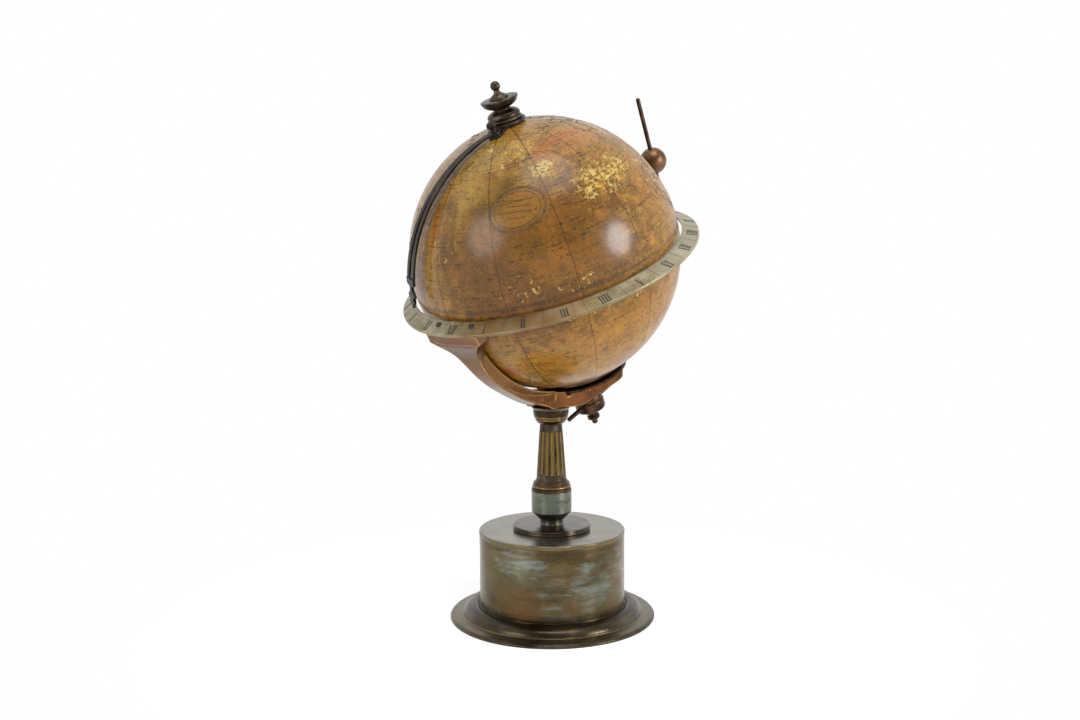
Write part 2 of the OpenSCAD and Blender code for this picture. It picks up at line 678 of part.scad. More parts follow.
module finial_urn() color("#463b30") polar() difference() {
  r = urn_d / 2;
  lathe(concat([[0, bun_top], [5.2, bun_top], [5.2, bun_top + 0.4]],
    smooth([[4.7, bun_top + 0.7], [4.6, bun_top + 1.4], [6.2, bun_top + 3.4], [r - 2, bun_top + 5.2],
      [r - 0.3, urn_top - 1.3]], 4),
    [[r, urn_top - 1.1], [r, urn_top - 0.3], [r - 0.4, urn_top], [0, urn_top]]));
  rod(axle_r, 0, bun_top + 2.4);
  rod(1.2, urn_top - 3, urn_top + 1);
}

module finial_cap() color("#4d4136") polar() {
  r = cap_ball_d / 2;
  lathe(concat([[0, urn_top - 2.9], [1.2, urn_top - 2.9], [1.2, urn_top], [5.5, urn_top], [5.5, urn_top + 0.6]],
    smooth([[4.9, urn_top + 0.8], [3, urn_top + 1.7], [1.7, urn_top + 3.2], [1.3, cap_ball_h - r + 0.4]], 4),
    [[0, cap_ball_h - r + 0.4]]));
  translate([0, 0, cap_ball_h]) sphere(r);
}

// the hand and its plate

module screw_frame() polar() rotate([0, 0, screw_az]) rotate([0, screw_polar, 0]) children();

module hand_plate() color("#352f2a") difference() {
  union() {
    polar() rod(plate_d / 2, plate_low, plate_top);
    intersection() {
      polar() difference() {
        sphere(arm_out);
        sphere(arm_in);
      }
      union() {
        polar() rotate([0, 0, screw_az]) translate([0, -4.2, 0]) cube([arm_out * sin(screw_polar), 8.4, 100]);
        screw_frame() rod(4.2, 0, 100);
      }
    }
  }
  polar() rod(axle_r + run, 0, 100);
  screw_frame() rod(screw_r + run, 0, 100);
}

// a strip of the hand's arc from s1 to s2 degrees, w wide
module hand_arc(s1, s2, w) translate([hand_dx, 0, hand_dz]) rotate([90, 0, 0]) rotate([0, 0, 90 - s2])
  rotate_extrude(angle = s2 - s1) translate([hand_r, -w / 2]) square([hand_t, w]);

module hour_hand() color("#2f2a26") screw_frame() rotate([0, 0, hand_swing]) difference() {
  u = hand_r * PI / 180;
  half_block = 4.3;
  union() {
    rod(root_r, root_in, root_in + hand_t);
    intersection() {
      hand_arc(-1, block_deg + 1, 3 * half_block);
      for (s = [-1, 1]) rotate([0, 0, s * prong_half]) translate([-root_r, -prong_w / 2, 0])
        cube([2 * hand_r, prong_w, 2 * hand_r]);
    }
    translate([hand_dx, 0, hand_dz]) rotate([0, tail_deg, 0]) translate([0, 0, hand_r - 0.2])
      linear_extrude(hand_t + 0.2) polygon([
        [(block_deg - tail_deg) * u, half_block], [(block_deg + 2.5 - tail_deg) * u, half_block],
        [(block_deg + 3.3 - tail_deg) * u, 1.3], [-u, 1.2], [u, 4], [2.7 * u, 1.5], [3.1 * u, 3], [6.5 * u, 0],
        [3.1 * u, -3], [2.7 * u, -1.5], [u, -4], [-u, -1.2], [(block_deg + 3.3 - tail_deg) * u, -1.3],
        [(block_deg + 2.5 - tail_deg) * u, -half_block], [(block_deg - tail_deg) * u, -half_block]]);
  }
  rod(screw_r + run, 0, 100);
}

module thumb_screw() color("#2c2723") screw_frame() {
  low = root_in + hand_t + seam;
  rod(screw_r, arm_in - 0.3, low + 0.1);
  lathe([[0, low], [1.9, low], [1.7, low + 0.6], [1.7, low + 2.3], [thumb_d / 2 - 0.2, low + 2.8],
    [thumb_d / 2, low + 3.3], [thumb_d / 2, low + 4.3], [thumb_d / 2 - 0.8, low + 5.1], [0, low + 5.4]]);
}

// the marker

module marker_clip() color("#3d3027") polar() rotate([0, 0, marker_az - clip_deg / 2]) difference() {
  rotate_extrude(angle = clip_deg) polygon([
    [ring_ro - 2.6, ring_h(ring_ro - 2.6) + 0.1], [ring_ro + 0.2, ring_h(ring_ro + 0.2) + 0.1],
    [ring_ro + 0.2, ring_h(ring_ro + 0.2) - ring_t - 0.1], [ring_ro - 2.6, ring_h(ring_ro - 2.6) - ring_t - 0.1],
    [ring_ro - 2.6, ring_h(ring_ro - 2.6) - ring_t - 1.3], [ring_ro - 0.4, flange_low + 2.6],
    [marker_r + 2, flange_low + 2.6], [marker_r + 2, ring_h(ring_ro) + 1.6], [ring_ro - 0.4, ring_h(ring_ro) + 1.6],
    [ring_ro - 2.6, ring_h(ring_ro - 2.6) + 1.1]]);
  rotate([0, 0, clip_deg / 2]) translate([marker_r, 0, 0]) rod(post_d / 2, -100, 100);
}

module marker_post() color("#3a2e26") polar() rotate([0, 0, marker_az]) translate([marker_r, 0, 0]) {
  rod(post_d / 2, flange_low + 2.6, post_top - 0.6);
  translate([0, 0, post_top - 0.6]) cylinder(r1 = post_d / 2, r2 = post_d / 2 - 0.5, h = 0.6);
}

module marker_ball() color("#43342a") polar() rotate([0, 0, marker_az]) translate([marker_r, 0, 0]) difference() {
  translate([0, 0, marker_h]) sphere(marker_d / 2);
  rod(post_d / 2, 0, 100);
}

// the movement

module centre_arbor() color("#9a9a98") {
  rod(1.2, low_z + plates_t + 0.1, up_z - 0.1);
  rod(pivot_r, low_z + 0.1, low_z + plates_t + 0.2);
  rod(drive_r, up_z - 0.2, pinion_z0);
  rod(pivot_r, pinion_z0 - 0.1, pinion_z1);
  pinion(leaf_n, barrel_m, barrel_az, barrel_z - 0.4, barrel_z + barrel_gear_t + 0.6);
}

module drive_pinion() color("#8c8c88") difference() {
  m = 2 * (cone_top + cone_low) / 2 * sin(pinion_cone) / pinion_n;
  pinion(pinion_n, m, 0, pinion_z0, pinion_z1);
  rod(pivot_r, pinion_z0 - 1, pinion_z1 + 1);
}

module centre_wheel() color("#c8a03c")
  crossed_wheel(centre_n, centre_m, third_az, centre_z, 1.2, 1.4, 1.2, 5);

module third_wheel() color("#c6a041") translate(third_at) {
  arbor(arbor_r);
  pinion(leaf_n, centre_m, third_az + 180, centre_z - 0.5, centre_z + 1.7);
  crossed_wheel(third_n, third_m, fourth_az, third_z, gear_t, 1.4, arbor_r - 0.05);
}

module fourth_wheel() color("#c9a445") translate(fourth_at) {
  arbor(arbor_r);
  pinion(leaf_n, third_m, fourth_az + 180, third_z - 0.6, third_z + gear_t + 0.6);
  crossed_wheel(fourth_n, fourth_m, escape_az, fourth_z, gear_t, 1.2, arbor_r - 0.05);
}

module escape_wheel() color("#d0ac50") translate(escape_at) {
  arbor(0.6);
  pinion(escape_leaf_n, fourth_m, escape_az + 180, fourth_z - 0.6, fourth_z + gear_t + 0.6);
  translate([0, 0, escape_z]) linear_extrude(0.8) difference() {
    rotate([0, 0, escape_tooth]) polygon([for (k = [0 : 14]) each
      [at(escape_r, k * 24 - 1), at(escape_r, k * 24 + 1), at(3.9, k * 24 + 5), at(3.9, k * 24 + 17)]]);
    difference() {
      circle(3.1);
      circle(1.3);
      for (k = [0 : 3]) rotate([0, 0, k * 90]) translate([0, -0.35]) square([4, 0.7]);
    }
    circle(0.55);
  }
}

module lever() color("#8d8d8a") translate(lever_at) {
  arbor(0.5);
  fork = norm(staff_at - lever_at);
  translate([0, 0, escape_z]) linear_extrude(0.8) rotate([0, 0, lever_az]) difference() {
    union() {
      circle(lever_hub_r);
      translate([0, -0.5]) square([fork - 1.6, 1]);
      translate([fork - 2.6, -1.1]) square([1.5, 2.2]);
      for (s = [-1, 1]) {
        rotate([0, 0, s * 106]) translate([0, -0.4]) square([0.6 * escape_r, 0.8]);
        translate([-escape_r / cos(30), 0]) rotate([0, 0, s * 30]) translate([escape_r + pallet_gap, -0.25])
          square([0.9, 0.5]);
      }
    }
    translate([fork - 2, -0.4]) square([2, 0.8]);
  }
}

module balance() color("#c9a33f") translate(staff_at) {
  rod(0.6, low_z + plates_t + 0.1, cock_z - 0.1);
  rod(0.3, low_z + 0.1, cock_z + cock_t - 0.2);
  rod(2.3, up_z - 1, up_z - 0.3);
  rotate([0, 0, lever_az + 180]) translate([1.8, 0, 0]) rod(0.25, escape_z + 0.9, up_z - 0.9);
  tube(balance_r, balance_r - 1.1, balance_z, balance_z + balance_t);
  difference() {
    union() {
      translate([-balance_r + 0.5, -0.8, balance_z]) cube([2 * balance_r - 1, 1.6, 0.9]);
      rod(1.6, balance_z, balance_z + 0.9);
      rod(1, balance_z + 0.8, hair_z + 0.6);
    }
    rod(0.55, balance_z - 1, hair_z + 1);
  }
}

module hairspring() color("#41506b") translate(staff_at) rotate([0, 0, cock_az]) {
  spiral(1.25, 4.6, 4, 0.14, hair_z, hair_z + 0.6);
  translate([4.67, 0, hair_z]) cylinder(r = 0.35, h = cock_z - hair_z);
}

module balance_cock() color("#c49a3b") translate(staff_at) difference() {
  rotate([0, 0, cock_az]) {
    translate([cock_foot - 2.6, -3, up_top]) cube([5.2, 6, cock_z - up_top]);
    translate([0, -2.2, cock_z]) cube([cock_foot, 4.4, cock_t]);
    translate([cock_foot - 2.6, -3, cock_z]) cube([5.2, 6, cock_t]);
    rod(4.2, cock_z, cock_z + cock_t);
  }
  rod(0.35, 0, 100);
  rotate([0, 0, cock_az]) translate([cock_foot, 0, 0]) rod(0.9, up_top, 100);
}

module barrel() color("#caa23e") translate(barrel_at) {
  difference() {
    union() {
      translate([0, 0, barrel_z]) rotate([0, 0, barrel_az + 180]) linear_extrude(barrel_gear_t)
        polygon(toothed(barrel_n, barrel_m, WHEEL_TOOTH));
      rod(barrel_r, barrel_z, barrel_z + barrel_h + 2);
    }
    rod(barrel_r - 0.8, barrel_z + 1, barrel_z + barrel_h + 1);
    rod(wind_r + run, barrel_z - 1, barrel_z + barrel_h + 3);
  }
}

module mainspring() color("#4d5866") translate(barrel_at)
  spiral(core_r + 0.9, barrel_r - 1.6, 7, 0.35, barrel_z + 1.5, barrel_z + barrel_h + 0.5);

module winding_arbor() color("#92928e") translate(barrel_at) {
  rod(core_r, barrel_z + 1.2, barrel_z + barrel_h + 0.8);
  rod(wind_r, low_z - 0.3, barrel_z + barrel_h + 2.4);
  rod(1, barrel_z + barrel_h + 2.3, up_top - 0.1);
  translate([-1.4, -1.4, 4.4]) cube([2.8, 2.8, low_z - 4.6]);
}

module ratchet_wheel() color("#a5a39b") translate(barrel_at) difference() {
  translate([0, 0, ratchet_z]) linear_extrude(ratchet_t) polygon([for (k = [0 : ratchet_n - 1]) each
    [at(ratchet_in + 0.3, k * 15 - 6), at(ratchet_in, k * 15 - 1.5), at(ratchet_r, k * 15)]]);
  translate([-1.4, -1.4, 0]) cube([2.8, 2.8, 20]);
}

module click() color("#a09e96") {
  tip = barrel_at + at(ratchet_in + 0.45, 87.5);
  way = tip - click_at;
  a = atan2(way[1], way[0]);
  l = norm(way);
  translate(click_at) {
    rod(0.8, ratchet_z, low_z + plates_t - 0.1);
    translate([0, 0, ratchet_z]) linear_extrude(ratchet_t) union() {
      circle(1.8);
      rotate([0, 0, a]) polygon([[0, 1.3], [2.4, 0.9], [3.5, 0.2], [l, 0.2], [l - 0.25, -0.7], [l - 1.6, -1.3], [0, -1.6]]);
    }
  }
}

module click_spring() color("#7b8188") {
  translate(click_at) {
    translate([1, 6, low_z - 1.8]) cylinder(r = 1, h = 1.8);
    translate([-4.6, 5, ratchet_z + 0.4]) cube([6.2, 0.4, 0.8]);
    translate([0.6, 5, ratchet_z + 0.4]) cube([0.8, 1.2, low_z - ratchet_z - 0.4]);
  }
}

module arbor_holes(z0, z1) {
  for (p = [third_at, fourth_at, escape_at, lever_at]) translate(p) rod(pivot_r + run, z0, z1);
}

module lower_plate() color("#c39b3e") difference() {
  rod(plates_r, low_z, low_z + plates_t);
  arbor_holes(0, 100);
  rod(pivot_r + run, 0, 100);
  translate(staff_at) rod(0.35, 0, 100);
  translate(barrel_at) rod(wind_r + run, 0, 100);
  translate(click_at) rod(0.8 + run, 0, 100);
  around(4, pillar_r, 45) rod(0.9, 0, 100);
}

module upper_plate() color("#c39b3e") difference() {
  rod(plates_r, up_z, up_top);
  arbor_holes(0, 100);
  rod(drive_r + run, 0, 100);
  translate(staff_at) rod(1.1, 0, 100);
  translate(barrel_at) rod(1 + run, 0, 100);
  around(4, pillar_r, 45) rod(0.9, 0, 100);
  around(3, post_at) rod(1.2, 0, 100);
  translate(staff_at) rotate([0, 0, cock_az]) translate([cock_foot, 0, 0]) rod(0.9, 0, 100);
}

module plate_pillars() color("#bd973f") around(4, pillar_r, 45) difference() {
  lathe(concat([[0, low_z + plates_t], [pillar_rad, low_z + plates_t], [pillar_rad, low_z + plates_t + 2]],
    smooth([[pillar_rad - 0.9, low_z + plates_t + 3.4], [pillar_rad - 0.5, (low_z + up_z) / 2],
      [pillar_rad - 0.9, up_z - 3.4]], 3),
    [[pillar_rad, up_z - 2], [pillar_rad, up_z], [0, up_z]]));
  rod(0.9, 0, low_z + plates_t + 4);
  rod(0.9, up_z - 4, 100);
}

module plate_screw(z, s) translate([0, 0, z]) rotate([s > 0 ? 0 : 180, 0, 0]) difference() {
  union() {
    rod(1.8, 0, 1);
    rod(0.9, -5, 0.1);
  }
  translate([-3, -0.2, 0.5]) cube([6, 0.4, 1]);
}

module plate_screws() color("#3f4c63") {
  around(4, pillar_r, 45) plate_screw(up_top, 1);
  around(4, pillar_r, 45) plate_screw(low_z, -1);
  translate(staff_at) rotate([0, 0, cock_az]) translate([cock_foot, 0, 0]) plate_screw(cock_z + cock_t, 1);
}

module hanging_posts() color("#b9943f") around(3, post_at) {
  rod(post_rad, up_top, lid_in);
  rod(1.2, up_z, up_top + 0.1);
  rod(1.2, lid_in - 0.1, lid_in + 2);
}

foot();
drum_shell();
drum_lid();
bottom_cover();
cover_screws();
socle();
collar();
column_shaft();
capital();
column_tube();
tube_nut();
shaft_bushes();
cradle();
hour_ring();
ring_screws();
pole_bush();
globe_north();
globe_south();
joining_hoop();
globe_axle();
north_collar();
south_dish();
globe_wheel();
clutch_spring();
south_knob();
knob_nut();
tommy_bar();
finial_bun();
finial_urn();
finial_cap();
hand_plate();
hour_hand();
thumb_screw();
marker_clip();
marker_post();
marker_ball();
centre_arbor();
drive_pinion();
centre_wheel();
third_wheel();
fourth_wheel();
escape_wheel();
lever();
balance();
hairspring();
balance_cock();
barrel();
mainspring();
winding_arbor();
ratchet_wheel();
click();
click_spring();
lower_plate();
upper_plate();
plate_pillars();
plate_screws();
hanging_posts();
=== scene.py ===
import math

import bmesh
import bpy
import numpy as np
from mathutils import Matrix, Vector


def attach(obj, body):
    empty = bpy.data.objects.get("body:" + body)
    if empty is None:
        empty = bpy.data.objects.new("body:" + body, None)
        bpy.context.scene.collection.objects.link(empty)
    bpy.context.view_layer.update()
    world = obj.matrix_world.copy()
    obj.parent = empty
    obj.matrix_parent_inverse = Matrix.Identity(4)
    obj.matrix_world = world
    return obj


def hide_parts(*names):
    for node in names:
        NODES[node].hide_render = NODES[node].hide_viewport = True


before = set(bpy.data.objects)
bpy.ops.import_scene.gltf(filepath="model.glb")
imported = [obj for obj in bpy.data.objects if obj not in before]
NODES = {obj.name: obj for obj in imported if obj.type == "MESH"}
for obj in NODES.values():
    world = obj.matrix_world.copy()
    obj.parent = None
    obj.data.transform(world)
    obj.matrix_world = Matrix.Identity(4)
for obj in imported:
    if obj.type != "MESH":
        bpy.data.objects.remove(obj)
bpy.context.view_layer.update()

MM = 0.001
TILT = math.radians(23.5)
CENTRE = Vector((-4, 0, 210.5)) * MM
GLOBE_R = 76.2 * MM
# Turns the globe's own frame, with its north pole on +Z, into the frame of the whole clock
POLAR = Matrix.Translation(CENTRE) @ Matrix.Rotation(-TILT, 4, "Y")


# Small helpers for shader trees and pieces


def colour(tone):
    """A hex tone as the eye sees it, as linear colour."""
    parts = [int(tone[i : i + 2], 16) / 255 for i in (0, 2, 4)]
    return tuple(p / 12.92 if p <= 0.04045 else ((p + 0.055) / 1.055) ** 2.4 for p in parts) + (1,)


def wire(socket, value):
    """Links a socket, or sets a plain value or a hex tone."""
    if isinstance(value, bpy.types.NodeSocket):
        socket.id_data.links.new(value, socket)
    elif isinstance(value, str):
        socket.default_value = colour(value)
    else:
        socket.default_value = value


def put(tree, kind, settings=None, **sockets):
    """A new node, with its settings and its input sockets by name."""
    node = tree.nodes.new(kind if kind.startswith("NodeGroup") else "ShaderNode" + kind)
    for name, value in (settings or {}).items():
        setattr(node, name, value)
    for name, value in sockets.items():
        wire(node.inputs[name.replace("_", " ")], value)
    return node


def tree_of(*values):
    """The shader tree of the sockets among some values."""
    return next(value.id_data for value in values if isinstance(value, bpy.types.NodeSocket))


def calc(operation, *values, clamp=False):
    """The result of a sum of single values."""
    node = put(tree_of(*values), "Math", {"operation": operation, "use_clamp": clamp})
    for socket, value in zip(node.inputs, values):
        wire(socket, value)
    return node.outputs[0]


# Sums by their plain names


def times(a, b):
    return calc("MULTIPLY", a, b)


def plus(a, b):
    return calc("ADD", a, b)


def minus(a, b):
    return calc("SUBTRACT", a, b)


def over(a, b):
    return calc("DIVIDE", a, b)


def larger(a, b):
    return calc("MAXIMUM", a, b)


def vector(operation, *values):
    """The outputs of a sum of vectors."""
    node = put(tree_of(*values), "VectorMath", {"operation": operation})
    for socket, value in zip(node.inputs, values):
        wire(socket, value)
    return node.outputs


def mix(share, a, b, blend="MIX"):
    """Tone a going over to tone b by a share."""
    node = put(tree_of(share, a, b), "Mix", {"data_type": "RGBA", "blend_type": blend})
    for place, value in ((0, share), (6, a), (7, b)):
        wire(node.inputs[place], value)
    return node.outputs[2]


def lay(tone, mask, share, other):
    """Another tone laid over a tone, where a mask is and by a share."""
    return mix(times(mask, share), tone, other)


def step(value, low, high, out_low=0.0, out_high=1.0):
    """A soft step of a value between two limits."""
    node = put(
        value.id_data, "MapRange", {"interpolation_type": "SMOOTHSTEP"},
        Value=value, From_Min=low, From_Max=high, To_Min=out_low, To_Max=out_high,
    )
    return node.outputs[0]


def between(value, low, top):
    """One where a value is past the soft step low and short of the soft step top."""
    return times(step(value, *low), step(value, *top, 1.0, 0.0))


def noise(place, scale, detail=4.0, rough=0.55, distort=0.0, dims="3D"):
    """The value of a noise from 0 to 1."""
    return put(
        place.id_data, "TexNoise", {"noise_dimensions": dims},
        **{"Vector" if dims != "1D" else "W": place},
        Scale=scale, Detail=detail, Roughness=rough, Distortion=distort,
    ).outputs[0]


def parts_of(place):
    """The X, Y and Z of a vector."""
    return put(place.id_data, "SeparateXYZ", Vector=place).outputs


def around(place):
    """The turn about the Z axis in degrees."""
    x, y, _ = parts_of(place)
    return calc("DEGREES", calc("ARCTAN2", y, x))


def radius_of(place):
    """The distance from the Z axis, and the height."""
    x, y, z = parts_of(place)
    return calc("SQRT", plus(times(x, x), times(y, y))), z


def polar_place(tree):
    """Object coordinates turned into the globe's own frame."""
    centred = vector("SUBTRACT", put(tree, "TexCoord").outputs["Object"], CENTRE)[0]
    return put(tree, "Mapping", Vector=centred, Rotation=(0, TILT, 0)).outputs[0]


def towards(turn, rise):
    """The direction of a turn about the Z axis and a rise over the level, both in degrees."""
    turn, rise = math.radians(turn), math.radians(rise)
    return Vector((math.cos(rise) * math.cos(turn), math.cos(rise) * math.sin(turn), math.sin(rise)))


def placed(name, data):
    """A new object in the scene."""
    thing = bpy.data.objects.new(name, data)
    bpy.context.scene.collection.objects.link(thing)
    return thing


def piece_of(name, bm, material, smooth=False):
    """A new piece from its bmesh."""
    mesh = bpy.data.meshes.new(name)
    for face in bm.faces:
        face.smooth = smooth
    bm.to_mesh(mesh)
    bm.free()
    mesh.materials.append(material)
    return placed(name, mesh)


def group(name, inputs, outputs):
    """An empty node group, with its given inputs and the sockets of its output."""
    tree = bpy.data.node_groups.new(name, "ShaderNodeTree")
    for label, kind, value in inputs:
        socket = tree.interface.new_socket(label, in_out="INPUT", socket_type="NodeSocket" + kind)
        if value is not None:
            socket.default_value = value
    for label, kind in outputs:
        tree.interface.new_socket(label, in_out="OUTPUT", socket_type="NodeSocket" + kind)
    return tree, put(tree, "NodeGroupInput").outputs, put(tree, "NodeGroupOutput").inputs


def use(tree, inner, **values):
    """The outputs of a node group placed in a tree with its own values."""
    return put(tree, "Group", {"node_tree": inner}, **values).outputs


# Effects that several finishes share


def tarnish_group():
    """Soft clouds, patches, small specks and fine grain of old metal, drawn out sideways by Stretch."""
    tree, given, out = group(
        "tarnish",
        [("Place", "Vector", None), ("Size", "Float", 0.02), ("Stretch", "Float", 1.0)],
        [("Cloud", "Float"), ("Patch", "Float"), ("Speck", "Float"), ("Grain", "Float")],
    )
    place = vector("DIVIDE", given["Place"], given["Size"])[0]
    squeezed = put(tree, "CombineXYZ", X=1.0, Y=1.0, Z=given["Stretch"]).outputs[0]
    place = vector("MULTIPLY", place, squeezed)[0]
    cloud = noise(place, 0.9, 5, 0.6, 0.4)
    patch = noise(place, 2.1, 7, 0.66, 0.6)
    speck = noise(place, 9.0, 4, 0.65)
    wire(out["Cloud"], step(cloud, 0.3, 0.7))
    wire(out["Patch"], step(patch, 0.42, 0.68))
    wire(out["Speck"], step(speck, 0.52, 0.74))
    wire(out["Grain"], noise(place, 46.0, 4, 0.7))
    return tree


def turning_group():
    """Fine lines left by turning about the frame's own Z, broken up a little along their length."""
    tree, given, out = group(
        "turning", [("Place", "Vector", None), ("Pitch", "Float", 0.0004)], [("Lines", "Float")]
    )
    radius, z = radius_of(given["Place"])
    along = over(plus(radius, times(z, 1.37)), given["Pitch"])
    lines = noise(along, 1.0, 3, 0.7, dims="1D")
    breaks = noise(given["Place"], 90.0, 2)
    wire(out["Lines"], times(lines, step(breaks, 0.25, 0.75, 0.6, 1.0)))
    return tree


def band_group():
    """A soft band of a value about its middle."""
    tree, given, out = group(
        "band",
        [("Value", "Float", 0), ("Middle", "Float", 0), ("Width", "Float", 0.001)],
        [("Mask", "Float")],
    )
    away = calc("ABSOLUTE", minus(given["Value"], given["Middle"]))
    wire(out["Mask"], step(over(away, given["Width"]), 0.4, 1.0, 1.0, 0.0))
    return tree


def edges_group():
    """Where two faces meet at a corner, the mask for wear and painted highlight, with the rounded normal of
    the corner.
    """
    tree, given, out = group("edges", [("Width", "Float", 0.0004)], [("Mask", "Float"), ("Normal", "Vector")])
    round_corner = put(tree, "Bevel", {"samples": 6}, Radius=given["Width"]).outputs[0]
    flat = put(tree, "NewGeometry").outputs["Normal"]
    alike = vector("DOT_PRODUCT", round_corner, flat)["Value"]
    wire(out["Mask"], step(minus(1.0, alike), 0.015, 0.12))
    wire(out["Normal"], round_corner)
    return tree


def spot_group():
    """An oval spot about a direction, its East and North divided by its half sizes, with ragged edges."""
    tree, given, out = group(
        "spot",
        [
            ("Place", "Vector", None), ("Middle", "Vector", None), ("East", "Vector", None),
            ("North", "Vector", None), ("Ragged", "Float", 0.5),
        ],
        [("Mask", "Float")],
    )
    across, up, facing = (
        vector("DOT_PRODUCT", given["Place"], given[label])["Value"]
        for label in ("East", "North", "Middle")
    )
    away = calc("SQRT", plus(times(across, across), times(up, up)))
    torn = minus(noise(given["Place"], 11.0, 5, 0.65), 0.5)
    away = plus(away, times(times(torn, 2.4), given["Ragged"]))
    facing = calc("GREATER_THAN", facing, 0.0)
    wire(out["Mask"], times(step(away, 0.7, 1.1, 1.0, 0.0), facing))
    return tree


TARNISH = tarnish_group()
TURNING = turning_group()
BAND = band_group()
EDGES = edges_group()
SPOT = spot_group()


# Finishes


def new_material(name):
    """A new material, its tree and its shader."""
    material = bpy.data.materials.new(name)
    material.use_nodes = True
    return material, material.node_tree, material.node_tree.nodes["Principled BSDF"]


def dress(tree, shader, tone, roughness, **bump):
    """Links the tone, the roughness and a bump to the shader."""
    wire(shader.inputs["Base Color"], tone)
    wire(shader.inputs["Roughness"], roughness)
    wire(shader.inputs["Normal"], put(tree, "Bump", **bump).outputs[0])


def metal(
    name, dark, mid, light, patch=None, speck=None, size=0.01, turned="stand", pitch=0.0004, metallic=0.85,
    rough=(0.24, 0.4), bump=0.12, patch_share=0.4, speck_share=0.35, bands=(), line_share=0.3, stretch=1.0,
    worn=None, wear_and_glint_share=0.7, corner=0.0004, more=None, brushed=0.0,
):
    """Old worked metal: three tones in clouds, patches and specks of patina, turning lines, corners of wear
    and painted highlight.

    Turned is "stand" or "globe" for the axis of the turning lines, or empty for none. A band is its middle
    height and half width in metres, its tone and its share. The function more changes the tone before the
    corners are brightened.
    """
    material, tree, shader = new_material(name)
    place = polar_place(tree) if turned == "globe" else put(tree, "TexCoord").outputs["Object"]
    cloud, patches, specks, grain = list(use(tree, TARNISH, Place=place, Size=size, Stretch=stretch))[:4]
    tone = mix(step(cloud, 0.0, 0.55), dark, mid)
    tone = mix(step(cloud, 0.5, 1.0), tone, light)
    tone = lay(tone, grain, 0.35, dark)
    if patch:
        tone = lay(tone, patches, patch_share, patch)
    if speck:
        tone = lay(tone, specks, speck_share, speck)
    height = grain
    if turned:
        lines = use(tree, TURNING, Place=place, Pitch=pitch)["Lines"]
        tone = mix(times(step(lines, 0.35, 0.6), line_share), tone, light)
        height = plus(grain, times(lines, 0.8))
    z = parts_of(place)["Z"]
    for middle, width, band_tone, share in bands:
        mask = use(tree, BAND, Value=z, Middle=middle, Width=width)["Mask"]
        mask = times(mask, times(step(cloud, -0.9, 0.6), share))
        tone = mix(mask, tone, band_tone)
    if more:
        tone = more(place, tone, grain)
    corners = use(tree, EDGES, Width=corner)
    # Corners, hollow ones too, laid in the worn tone: partly wear, partly painted highlight
    if worn:
        wear_and_glint = times(corners["Mask"], step(patches, -0.5, 1.2, 1.0, 0.3))
        tone = lay(tone, wear_and_glint, wear_and_glint_share, worn)
    shader.inputs["Metallic"].default_value = metallic
    shader.inputs["Anisotropic"].default_value = brushed
    shader.inputs["Anisotropic Rotation"].default_value = 0.25
    dull = plus(times(cloud, 0.5), times(grain, 0.5))
    roughness = step(dull, 0.2, 0.8, *rough)
    if patch:
        roughness = calc("ADD", roughness, times(patches, 0.1), clamp=True)
    relief = {"Strength": bump, "Distance": 0.0001, "Height": height, "Normal": corners["Normal"]}
    dress(tree, shader, tone, roughness, **relief)
    return material


def mottle(grain, dark, light):
    """Two tones mottled by the grain."""
    return mix(step(grain, 0.3, 0.7), dark, light)


# The fluted shaft: its radius at its foot, its taper, and the heights where its painted highlights of flutes
# and bead begin and end
SHAFT_R, SHAFT_LOW, SHAFT_TAPER = 8.6 * MM, 81.1 * MM, 0.069
FLUTE_DEPTH = (0.1 * MM, 0.6 * MM)
FLUTES_LOW, FLUTES_TOP = (82.6 * MM, 83.8 * MM), (108.8 * MM, 110 * MM)
BEAD_LOW, BEAD_TOP = (75.5 * MM, 76 * MM), (77.4 * MM, 78 * MM)


def flute_and_bead_highlights(place, tone, grain):
    """Painted highlights: a golden olive in the hollows of the flutes and on the bead, the lands between them
    left dark.
    """
    radius, z = radius_of(place)
    land = minus(SHAFT_R, times(minus(z, SHAFT_LOW), SHAFT_TAPER))
    hollow = step(minus(land, radius), *FLUTE_DEPTH)
    hollow = times(hollow, between(z, FLUTES_LOW, FLUTES_TOP))
    # Painted highlights in the hollows of the flutes
    tone = lay(tone, hollow, 0.85, mottle(grain, "6d5a33", "96793f"))
    # Painted highlight on the bead above the collar
    bead = between(z, BEAD_LOW, BEAD_TOP)
    return lay(tone, bead, 0.55, "9a7842")


# The middle and half width of the ring's brown part and of its part paler with painted light, in degrees
# about the globe's axis
BROWN_PART, PAINTED_LIGHT_PART = {"Middle": -150, "Width": 34}, {"Middle": -45, "Width": 75}


def ring_tones(place, tone, grain):
    """Brown over a part of the ring towards the front, and paler towards the far right as painted light."""
    tree = place.id_data
    turn = around(place)
    brown = use(tree, BAND, Value=turn, **BROWN_PART)["Mask"]
    brown = times(brown, step(noise(place, 60.0, 4), 0.36, 0.6, 0.25, 0.75))
    tone = mix(brown, tone, "86602e")
    # Painted light: the ring paler towards the far right, the side the right lamp lights
    pale = use(tree, BAND, Value=turn, **PAINTED_LIGHT_PART)["Mask"]
    return lay(tone, pale, 0.4, "c2baa4")


# Smears on the drum's wall, the grey-blue ones painted highlights where the lamps reflect: middle, half width
# and half height in millimetres, tone and share
DRUM_CLOUDS = [
    # Painted highlight where the left lamp reflects
    ((-38.9, -10.7, 40), 16, 8, "8b9a94", 0.5),
    ((-38, -12, 18), 16, 10, "74461e", 0.4),
    # Painted highlight where the right lamp reflects
    ((-12, -38.6, 27), 14, 15, "7d8c88", 0.45),
    ((-26, -31, 36), 12, 8, "7c6636", 0.4),
]
# How fine their ragged edges are along the wall and up it, as scales of the place
FINE, FINE_UP = 25, 75


